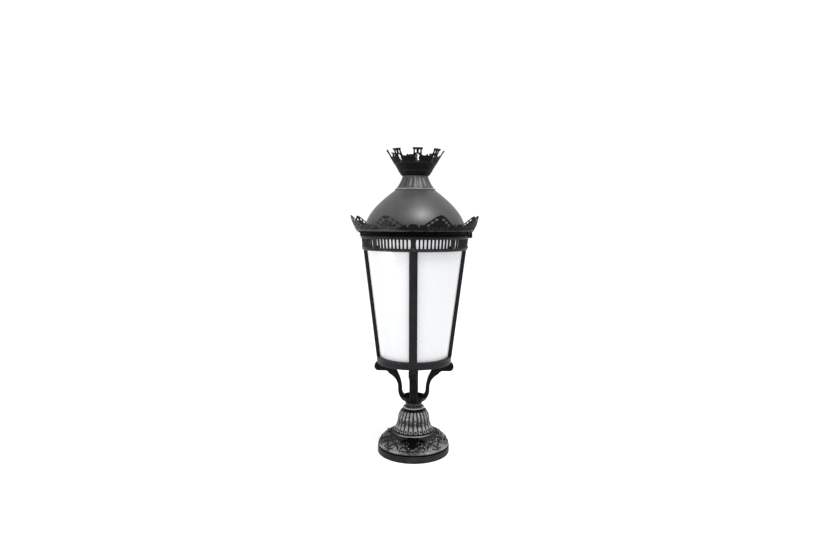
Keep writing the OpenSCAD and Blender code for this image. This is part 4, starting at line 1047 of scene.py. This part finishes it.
def bend_ring(points, triangles, front, back, copies, width):
    """A ring of bent sheets: front and back map flat points to space, and walls join their edges.

    width is the flat width of one copy; the seams between copies are welded and get no wall.
    """
    n = len(points)
    directed = np.concatenate([triangles[:, [0, 1]], triangles[:, [1, 2]], triangles[:, [2, 0]]])
    _, where, count = np.unique(np.sort(directed, 1), axis=0, return_index=True, return_counts=True)
    border = directed[where[count == 1]]
    seam = np.all(np.abs(np.abs(points[border][..., 0]) - width / 2) < 1e-3, axis=1)
    border = border[~seam]
    walls = np.stack([border[:, 1], border[:, 0], border[:, 0] + n, border[:, 1] + n], -1)
    verts, tris, quads = [], [], []
    for k in range(copies):
        both = np.concatenate([front(points), back(points)])
        verts.append(both @ turn_matrix(2 * np.pi * k / copies))
        tris += [triangles + 2 * n * k, triangles[:, ::-1] + n + 2 * n * k]
        quads.append(walls + 2 * n * k)
    verts = np.concatenate(verts)
    _, first_of, same = np.unique(np.round(verts, 3), axis=0, return_index=True,
                                  return_inverse=True)
    same = same.reshape(-1)
    faces = same[np.concatenate(tris)].tolist() + same[np.concatenate(quads)].tolist()
    return (verts[first_of], faces), first_of


# %% [markdown]
# ## The leaf cresting
#
# Eight leaves stand round the cornice and lean outwards. Each has a rounded peak, six petal holes
# in a fan, three round holes on either side, and a low scroll between it and the next. A raised rim
# follows every edge, ribs run out between the petals and a small rosette sits at the root.

# %% One leaf, drawn flat
leaf_count = 8
leaf_ref = 245.0
leaf_width = 2 * math.pi * leaf_ref / leaf_count
half_edge = [[0, 0.46], [1.4, 0.465], [2.6, 0.45], [3.6, 0.41], [4.3, 0.32], [4.6, 0.25],
             [5.6, 0.25], [5.85, 0.36], [6.1, 0.455], [6.6, 0.44], [7.2, 0.39], [8.6, 0.385],
             [11, 0.5], [14, 0.655], [17, 0.81], [19, 0.905], [20.6, 0.965], [21.6, 0.99],
             [22.5, 1]]
degree = np.radians(1) * leaf_ref
root_points = 80


def leaf_outline():
    """The sheet of one leaf from seam to seam: root below, scroll, notch, tip and peak above."""
    right = np.array([[(22.5 - a) * degree, t * leaf_h] for a, t in half_edge])
    top = np.concatenate([right, right[::-1][1:] * [-1, 1]])
    early, late = 0.75 * top[:-1] + 0.25 * top[1:], 0.25 * top[:-1] + 0.75 * top[1:]
    cut_corners = np.stack([early, late], 1).reshape(-1, 2)
    top = resample(np.concatenate([top[:1], cut_corners, top[-1:]]), 1.6)
    side_t = np.linspace(0, top[0, 1], 13)[1:-1]
    right_side = np.stack([np.full(11, leaf_width / 2), side_t], -1)
    left_side = right_side[::-1] * [-1, 1]
    root_x = np.linspace(-leaf_width / 2, leaf_width / 2, root_points)
    root = np.stack([root_x, 0 * root_x], -1)
    return np.concatenate([root, right_side, top, left_side])


petal_across, petal_up = 6.8, 4.7
petal_places = [(13.0, 43.5, 8), (27.0, 33.8, 20), (40.0, 23.8, 32)]
root_hole_r, root_hole_z = 3.3, 0.205 * leaf_h
root_hole_degrees = (2.1, 5.0, 8.6)


def petal_hole(side, x, y, tilt):
    """An egg-shaped hole of the fan: wide along the edge of the leaf, tilted down and outwards."""
    b = even_angles(22)
    across, up = petal_across * np.cos(b), petal_up * np.sin(b) * (0.88 + 0.12 * np.cos(b))
    c, d = math.cos(math.radians(-tilt)), math.sin(math.radians(-tilt))
    return np.stack([side * (x + across * c - up * d), y + across * d + up * c], -1)


def round_hole(x, y, r, n=12):
    """A circle of n points."""
    b = even_angles(n)
    return np.stack([x + r * np.cos(b), y + r * np.sin(b)], -1)


leaf_holes = [petal_hole(side, *place) for side in (-1, 1) for place in petal_places]
leaf_holes += [round_hole(side * a * degree, root_hole_z, root_hole_r)
               for side in (-1, 1) for a in root_hole_degrees]
leaf_edge = leaf_outline()
leaf_points, leaf_triangles = flat_sheet(leaf_edge, leaf_holes, 2.6, 1.1)
print("one leaf:", len(leaf_points), "points,", len(leaf_triangles), "triangles")

# %% The leaf bent and ribbed
edge_away = distance(leaf_points, [leaf_edge[root_points:]] + leaf_holes)
bead_y = 3.2


def flare(t):
    """Radius of the cresting at height t: from the cornice out to leaf_r, mostly near the top."""
    v = np.clip(t, 0, None) / leaf_h
    return cornice_r + (leaf_r - cornice_r) * (0.36 * v**0.45 + 0.64 * v**1.4)


def leaf_relief(points, away):
    """Rim along the edges, ribs between the petals, a rosette at the root and curled veins."""
    x, y = points[:, 0], points[:, 1]
    dy = y - 0.165 * leaf_h
    rho, phi = np.hypot(x, dy), np.degrees(np.arctan2(x, dy))
    rim = 0.9 * hump(away, 1.8, 1.5) - 0.7 * hump(away, 0, 0.8)
    ribs = 0.9 * hump((phi + 90) % 25, 16, 4) * ease((rho - 9) / 6) * ease((60 - rho) / 8)
    rosette = 1.5 * hump(rho, 0, 7) * (0.75 + 0.25 * np.cos(np.radians(6 * phi)))
    bead = 0.8 * hump(y, bead_y, 1.8)
    to_curl = np.hypot(np.abs(x) - leaf_width / 2, y - 14)
    curl = 0.7 * np.cos((to_curl / 4.4) * np.pi) * ease((15 - to_curl) / 4)
    curl = np.where(np.abs(x) > leaf_width / 2 - 16, curl, 0)
    return rim + ribs * (y > 4) + rosette + bead + curl


raised = leaf_relief(leaf_points, edge_away)


def leaf_at(points, r):
    """Flat points bent to radius r, half a leaf on from the x axis."""
    a = points[:, 0] / leaf_ref + np.pi / leaf_count
    return np.stack([r * np.cos(a), r * np.sin(a), z_dome + points[:, 1]], -1)


def leaf_front(points):
    """Outer face: flare plus relief."""
    return leaf_at(points, flare(points[:, 1]) + 0.55 * np.minimum(raised, 1.6) - 0.9)


def leaf_back(points):
    """Inner face: 3.7 mm behind the flare, thinner at the edges."""
    return leaf_at(points, flare(points[:, 1]) - 3.7 + 0.7 * hump(edge_away, 0, 0.9))


cresting, kept = bend_ring(leaf_points, leaf_triangles, leaf_front, leaf_back, leaf_count,
                           leaf_width)
base_strip = turned(soften([[cornice_r - 14, z_dome], [cornice_r - 0.6, z_dome],
                            [cornice_r - 0.6, z_dome + 3], [cornice_r - 14, z_dome + 3]], 0.6), 192)
front_rub = np.clip(raised, 0, 1.2) * 0.4 + 0.35 * hump(leaf_points[:, 1], bead_y, 2.2)
both_sides = np.concatenate([front_rub, 0.25 * np.ones(len(leaf_points))])
leaf_turn = np.arctan2(cresting[0][:, 1], cresting[0][:, 0])
# The leaves on the left front are painted lighter, as lit from that side.
painted_light_left_front = 0.52 * ease((np.cos(leaf_turn + np.radians(138)) - 0.68) / 0.2)
leaf_wear_and_light = np.tile(both_sides, leaf_count)[kept] + painted_light_left_front
make_piece("leaf_cresting", [cresting, base_strip], leaf_shaded_black, "roof", ["leaf_ring"],
           crest=np.concatenate([leaf_wear_and_light, np.zeros(len(base_strip[0]))]), sharp=50)

# %% [markdown]
# ## The dome and the fluted neck
#
# The dome is spun sheet with a smooth cosine outline. The neck is a casting: a bead, then sixteen
# flutes that narrow with it up to the crown.

# %% Dome
dome_skin, flange_t = 2.5, 3
neck_seat_t = 4
t = np.linspace(0, 1, 90)
dome_line = np.stack([dome_r * np.cos(np.radians(dome_sweep * t)),
                      z_dome + flange_t + (z_neck - z_dome - flange_t) * t], -1)
dome_inside = dome_line[::-6] - np.stack([dome_skin + 3.5 * t[::-6], 3.5 * t[::-6]], -1)
dome_loop = np.concatenate([
    [[dome_r - 6, z_dome], [dome_r + 3.4, z_dome], [dome_r + dome_flange, z_dome + 0.6],
     [dome_r + dome_flange, z_dome + 2.3], [dome_r + 3.3, z_dome + flange_t],
     [dome_r + 0.8, z_dome + flange_t]],
    dome_line,
    [[stud_bore_r, z_neck], [stud_bore_r, z_neck - neck_seat_t], [24, z_neck - neck_seat_t]],
    dome_inside[1:-1], [[dome_r - 6, z_dome + flange_t]]])
make_piece("dome_shell", [turned(dome_loop, 256)], dome_lit_black, "roof", ["dome"])

# %% Neck
flutes, per_flute, neck_rows = 16, 18, 64
neck_bore_r = 41.5
steps = np.arange(flutes * per_flute)
theta = (2 * np.pi * steps / len(steps))[:, None]
bead_top = z_neck + 7
z = bead_top + (z_crown - bead_top) * np.linspace(0, 1, neck_rows)[None, :]
t = (z - bead_top) / (z_crown - bead_top)
down = (z_crown - z) / (z_crown - bead_top)
line = neck_top_r + (neck_foot_r - 4.5 - neck_top_r) * down**1.45
fade = round_end(t / 0.25) * round_end((0.97 - t) / 0.15)
flute = 0.5 - 0.5 * np.cos(2 * np.pi * steps / per_flute)[:, None]
fluted = spread(line - 2.8 * fade * flute**1.6, z)
neck_bead_points = 12
bead = half_round(neck_foot_r - 2.4, z_neck + 3.1, 3.9, 3.0, neck_bead_points)
before = np.concatenate([[[neck_bore_r, z_neck + 0.01], [neck_foot_r - 3, z_neck + 0.01]], bead,
                         [[neck_foot_r - 3.8, bead_top]]])
after = np.array([[neck_top_r, z_crown - 0.01], [stud_bore_r, z_crown - 0.01],
                  [stud_bore_r, z_crown - 7], [neck_bore_r, z_crown - 7]])
neck_grid = np.concatenate([np.repeat(before[None], len(theta), 0), fluted,
                            np.repeat(after[None], len(theta), 0)], 1)
neck_wear_and_light = np.zeros(neck_grid.shape[:2])
# The bead has a painted highlight on the front right. The flute ridges are lighter from wear, with
# painted light on the front right and painted shade on the left.
neck_wear_and_light[:, 2:2 + neck_bead_points] = 0.66 + 0.3 * np.cos(theta + np.radians(80))
neck_wear_and_light[:, len(before):len(before) + neck_rows] = (
    0.34 * (1 - flute) * fade + 0.04 + 0.12 * np.cos(theta + np.radians(75))
    - 0.55 * ease((np.cos(theta + np.radians(160)) - 0.45) / 0.4))
make_piece("fluted_neck", [wrapped(neck_grid, theta)], dome_lit_black, "roof", ["neck_collar"],
           crest=neck_wear_and_light.ravel())

# %% [markdown]
# ## The crown
#
# A straight cone with eight little towers. A tower has two windows under a wider cornice and a
# keyhole arch in the wall below it; the wall between towers has a shallow scalloped top.

# %% One tower, drawn flat
tower_count = 8
crown_ref = 100.0
crown_foot_r = 54.0
crown_h = z_tip - z_crown
crown_width = 2 * math.pi * crown_ref / tower_count
foot_share = 0.02


def cone(share):
    """Radius of the crown at a share of its height, drawn in to the neck at its very foot."""
    return crown_foot_r + (crown_r - crown_foot_r) * share - 3.5 * np.clip(1 - share / 0.05, 0, 1)


def flat_x(across, share):
    """Flat coordinate of a point `across` millimetres from a tower's middle at that height."""
    return np.arcsin(np.clip(across / cone(share), -1, 1)) * crown_ref


def flat(points):
    """(millimetres across, share of the height) to flat coordinates."""
    p = np.asarray(points, float)
    return np.stack([flat_x(p[:, 0], p[:, 1]), p[:, 1] * crown_h], -1)


tower_half = [[16, 0.79], [16, 0.93], [18.6, 0.935], [19, 0.955], [18.3, 0.962], [19, 0.985],
              [19, 0.999]]
tower = flat(tower_half + [[-a, s] for a, s in tower_half[::-1]])
gap_degrees = [[22.5, 0.785], [21.6, 0.765], [20.4, 0.742], [18.3, 0.722], [15.3, 0.718],
               [12.3, 0.73], [9.9, 0.752]]
wall_right = np.array([[math.radians(a) * crown_ref, s * crown_h] for a, s in gap_degrees])
wall_right = np.concatenate([wall_right, flat([[16, 0.775]])])
wall_left = wall_right[::-1] * [-1, 1]
top_line = resample(np.concatenate([wall_right, tower, wall_left]), 1.5)
side_s = np.linspace(foot_share * crown_h, wall_right[0, 1], 30)[1:-1]
foot_x = np.linspace(-crown_width / 2, crown_width / 2, 32)
crown_outline = np.concatenate([
    spread(foot_x, foot_share * crown_h), spread(crown_width / 2, side_s), top_line,
    spread(-crown_width / 2, side_s[::-1])])
window = [[-2.9, 0.815], [2.9, 0.815], [2.9, 0.9], [2.4, 0.915], [1.4, 0.928], [-1.4, 0.928],
          [-2.4, 0.915], [-2.9, 0.9]]
window_apart = 7.2
key_half = [[5.2, 0.5], [6.8, 0.515], [7.5, 0.55], [6.9, 0.59], [5.0, 0.615], [4.6, 0.63],
            [5.2, 0.645], [7.2, 0.68], [7.6, 0.71], [6.6, 0.742], [4.0, 0.768], [1.2, 0.778]]
keyhole = key_half + [[-a, s] for a, s in key_half[::-1]]
crown_holes = [even_loop(flat([[a + side * window_apart, s] for a, s in window]), 1.4)
               for side in (-1, 1)]
crown_holes.append(even_loop(flat(keyhole), 2.0))
crown_points, crown_triangles = flat_sheet(crown_outline, crown_holes, 2.4, 0.9)
print("one tower:", len(crown_points), "points,", len(crown_triangles), "triangles")

# %% The crown bent and moulded
tower_turn = 6
crown_skin = 3.6
floor_share, floor_t = 0.045, 4.4
cornice_low, cornice_top = 0.935, 0.96
tower_away = distance(crown_points, [top_line] + crown_holes)
share = crown_points[:, 1] / crown_h
tower_x = np.abs(crown_points[:, 0]) * cone(share) / crown_ref
bands = 1.8 * np.exp(-((share - 0.185) / 0.017) ** 4) + 1.8 * np.exp(-((share - 0.47) / 0.018) ** 4)
cornice = 2.0 * ease((share - cornice_low) / 0.012)
stones = 0.35 * np.sign(np.sin(share * crown_h * 2 * np.pi / 7)) * np.sign(
    np.sin(crown_points[:, 0] * 2 * np.pi / 9 + np.pi * np.floor(share * crown_h * 2 / 7)))
stones = stones * (share > 0.5) * (share < 0.9) * (tower_away > 2)
quoin = 0.7 * ease((17 - tower_x) / 1.5) * ease((share - 0.5) / 0.01)
moulded = bands + cornice + stones + quoin - 0.7 * hump(tower_away, 0, 0.7)


def crown_at(points, r):
    """Flat points bent to radius r."""
    a = points[:, 0] / crown_ref
    return np.stack([r * np.cos(a), r * np.sin(a), z_crown + points[:, 1]], -1)


def crown_front(points):
    """Outer face: the cone plus beads, cornice and tower faces, kept inside crown_r at the top."""
    most = np.where(share < cornice_top, 2.0, crown_r - cone(share) + 0.2)
    return crown_at(points, cone(share) + np.minimum(moulded, most))


def crown_back(points):
    """Inner face: crown_skin inside the cone."""
    return crown_at(points, cone(share) - crown_skin + 0.5 * hump(tower_away, 0, 0.7))


crown_sheet, kept = bend_ring(crown_points, crown_triangles, crown_front, crown_back, tower_count,
                              crown_width)
crown_sheet = about_axis(crown_sheet, tower_turn)
floor_plate = turned(soften([[stud_bore_r, z_crown], [cone(0) - 0.1, z_crown],
                             [cone(floor_share) - 0.4, z_crown + floor_t],
                             [stud_bore_r, z_crown + floor_t]], 0.5), 128)
# The mouldings are lighter from wear outside; the inside face above 0.3 of the height is drawn
# light, painted light on the far wall seen through the keyholes.
crown_crests_and_lit_inside = np.concatenate([np.clip(bands / 2 + cornice * 0.3 + quoin * 0.25, 0, 1),
                             0.9 * (share > 0.3)])
crown_wear_and_light = np.tile(crown_crests_and_lit_inside, tower_count)[kept]
make_piece("tower_crown", [crown_sheet, floor_plate], crown_shaded_black, "roof", ["crown"],
           crest=np.concatenate([crown_wear_and_light, np.zeros(len(floor_plate[0]))]), sharp=50)

# %% [markdown]
# ## The control gear
#
# The gear shows when the roof is open. A ballast is a stack of steel sheets with copper windings at
# both ends; the capacitor and the ignitor are cans with a rolled rim. Each is a stack of outlines
# with flat ends, so a rim or a groove is only one more row.

# %% Ballast, capacitor and ignitor
def node_box(node):
    """The two corners of a CAD node's box, in millimetres."""
    return np.array([[edge_of(node, axis, side) for axis in range(3)] for side in (0, 1)])


def stack_along_x(stations, insets, low, high, corner):
    """Rounded rectangles between low and high (y, z), each drawn in by an inset, along x."""
    rows = []
    for x, inset in zip(stations, insets):
        (y0, z0), (y1, z1) = np.array(low) + inset, np.array(high) - inset
        outline_yz = soften([[y0, z0], [y1, z0], [y1, z1], [y0, z1]], corner, 5)
        rows.append(np.column_stack([np.full(len(outline_yz), x), outline_yz]))
    return band(np.array(rows), caps=True)


def can(outline_rz, centre, around=56):
    """Rings of (radius, height) round an upright axis, closed by a flat disc below and above."""
    p = np.asarray(outline_rz, float)
    a = even_angles(around)
    r, z = p[:, :1], p[:, 1:]
    return band(spread(centre[0] + r * np.cos(a), centre[1] + r * np.sin(a), z), caps=True)


def can_sizes(node, above):
    """Centre, radius, foot and rim height of a can whose terminals stand `above` mm over it."""
    low, high = node_box(node)
    return (low + high)[:2] / 2, (high - low)[0] / 2, low[2], high[2] - above


box_lo, box_hi = node_box("ballast")
core_half, sheet_pitch = 0.36 * (box_hi[0] - box_lo[0]), 3.5
starts_x = np.arange(-core_half, core_half - 0.1, sheet_pitch)
stations = (starts_x[:, None] + [0.05, 0.35, sheet_pitch - 0.6, sheet_pitch - 0.3]).ravel()
sheet_insets = np.tile([0.4, 0, 0, 0.4], len(starts_x))
core = stack_along_x(stations, sheet_insets, box_lo[1:], box_hi[1:], 1.2)
make_piece("ballast_core", [core], dark_steel, "lantern", ["ballast"],
           crest=np.full(len(core[0]), 0.3))
coil_inset = 7
windings = []
for side in (-1, 1):
    at = side * np.array([core_half - 2, core_half + 10, core_half + 14.5, box_hi[0]])
    windings.append(stack_along_x(at, [0, 0, 1.5, 5], box_lo[1:] + coil_inset,
                                  box_hi[1:] - coil_inset, 9))
make_piece("ballast_windings", windings, copper, "lantern", ["ballast"])

tab_h, tab_apart = 7, 7
centre, can_r, low_z, top_z = can_sizes("capacitor", tab_h)
tabs = [stack_along_x(centre[0] + side * tab_apart + np.array([-2.5, 2.5]), [0, 0],
                      [centre[1] - 0.6, top_z - 3], [centre[1] + 0.6, top_z + tab_h], 0.3)
        for side in (-1, 1)]
capacitor_can = can([[can_r - 1.5, low_z], [can_r - 0.2, low_z + 1.5], [can_r - 0.2, top_z - 4],
                     [can_r - 1, top_z - 3], [can_r, top_z - 2], [can_r, top_z - 0.6],
                     [can_r - 0.8, top_z], [can_r - 2, top_z - 0.4], [can_r - 2.4, top_z - 2]],
                    centre)
make_piece("capacitor_can", [capacitor_can] + tabs, white_plastic, "lantern", ["capacitor"])

stub_h, stub_r = 5, 6
centre, can_r, low_z, top_z = can_sizes("ignitor", stub_h)
ignitor_can = can([[can_r - 1.5, low_z], [can_r, low_z + 1.5], [can_r, low_z + 8],
                   [can_r - 0.8, low_z + 9], [can_r - 0.8, low_z + 11], [can_r, low_z + 12],
                   [can_r, top_z - 3], [can_r - 0.8, top_z - 1], [can_r - 3, top_z],
                   [stub_r, top_z], [stub_r, top_z + stub_h - 0.6], [stub_r - 0.6, top_z + stub_h]],
                  centre)
make_piece("ignitor_can", [ignitor_can], zinc, "lantern", ["ignitor"])

# %% [markdown]
# ## What stays from the CAD model
#
# Screws, nuts, the trays and the lamp are already the right shape. They keep their CAD meshes and
# get the finishes of their materials.

# %% Finishes on the CAD nodes
kept_nodes = {
    satin_black: ["bottom_tray", "panel_clips", "hinge_pin"],
    # The cornice ring, its nuts and its screws get the near-black finish of painted shade.
    painted_shade_black: ["lid_ring", "leaf_nuts", "leaf_screws"],
    opal: ["panel_front_right", "panel_back_right", "panel_back_left", "panel_front_left"],
    zinc: ["tray_screws", "lamp_cap", "roof_stud"],
    dark_steel: ["frieze_screws", "closing_screw", "tie_tube", "tie_nuts", "yoke_bolts",
                 "roof_nuts"],
    rubber: ["cable_gland", "gland_nut", "lid_gasket"],
    white_enamel: ["gear_tray", "reflector"],
    white_plastic: ["lamp_holder", "terminal_block"],
    frosted: ["lamp_glass"],
}
for finish, names in kept_nodes.items():
    for name in names:
        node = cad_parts[name]
        node.data.materials.clear()
        node.data.materials.append(finish)
        print(name, "gets", finish.name)

# %% [markdown]
# ## Studio
#
# A pale floor, an even white surround and two soft lights, as for a catalogue picture. The camera
# stands 2.3 m away at a height of 0.932 m and looks slightly down.

# %% Floor
floor_r, floor_turns, floor_rings = 30, 96, 24


def soft_floor():
    """A round floor, its rings at radii 30 t^2.2, so the centre is fine and the rim is far."""
    a = even_angles(floor_turns)[:, None]
    r = floor_r * np.linspace(0, 1, floor_rings)[None, 1:] ** 2.2
    grid = spread(r * np.cos(a), r * np.sin(a), -0.0005)
    cols = grid.shape[1]
    i, j = np.meshgrid(np.arange(floor_turns), np.arange(cols - 1), indexing="ij")
    up = (i + 1) % floor_turns
    quads = np.stack([i * cols + j, i * cols + j + 1, up * cols + j + 1, up * cols + j], -1)
    faces = quads.reshape(-1, 4).tolist() + [[k * cols for k in range(floor_turns)]]
    mesh = bpy.data.meshes.new("pale_floor")
    mesh.from_pydata(grid.reshape(-1, 3).tolist(), [], faces)
    floor = bpy.data.objects.new("pale_floor", mesh)
    bpy.context.scene.collection.objects.link(floor)
    return floor


floor_finish = moulded_finish("pale_floor", "white_paint", (0.955, 0.955, 0.955),
                              (0.965, 0.965, 0.965), 0.85, 0.95, 3)
floor_shader = floor_finish.node_tree.nodes["Principled BSDF"]
floor_shader.inputs["Specular IOR Level"].default_value = 0.1
floor_shader.inputs["Emission Color"].default_value = (1, 1, 1, 1)
floor_shader.inputs["Emission Strength"].default_value = 0.12
floor = soft_floor()
floor.data.materials.append(floor_finish)
print("floor:", len(floor.data.vertices), "points, radius", floor_r, "m")

# %% Surround and lights
world = bpy.data.worlds.new("studio")
bpy.context.scene.world = world
world.use_nodes = True
world.node_tree.nodes["Background"].inputs["Color"].default_value = (1, 1, 1, 1)
world.node_tree.nodes["Background"].inputs["Strength"].default_value = 1.05
bpy.context.scene.view_settings.view_transform = "Standard"


def softbox(name, place, aim, size, watts):
    """A square area light at place that faces aim."""
    light = bpy.data.lights.new(name, "AREA")
    light.size, light.energy = size, watts
    lamp = bpy.data.objects.new(name, light)
    bpy.context.scene.collection.objects.link(lamp)
    lamp.location = place
    way = np.array(aim, float) - np.array(place, float)
    lamp.rotation_euler = (math.acos(-way[2] / np.linalg.norm(way)), 0,
                           math.atan2(way[1], way[0]) - math.pi / 2)
    return lamp


softbox("front_top", (0.62, -1.2, 3.15), (0, 0, 0.9), 1.2, 80)
left = softbox("left_front", (-2.2, -1.1, 0.35), (-0.2, -0.2, 0.93), 0.9, 3.2)
left.data.spread = math.radians(50)

# %% Camera
camera_away, camera_height = 2.321, 0.932
look_down, roll, swing = math.radians(5.71), math.radians(-0.4), math.radians(1.5)
camera_data = bpy.data.cameras.new("photo_view")
camera_data.lens = 25.37
camera_data.sensor_width = 36
camera = bpy.data.objects.new("photo_view", camera_data)
bpy.context.scene.collection.objects.link(camera)
camera.location = (camera_away * math.sin(swing), -camera_away * math.cos(swing), camera_height)
camera.rotation_euler = (math.radians(90) - look_down, roll, swing)
bpy.context.scene.camera = camera
print("camera at", [round(c, 3) for c in camera.location], "with a lens of", camera_data.lens, "mm")
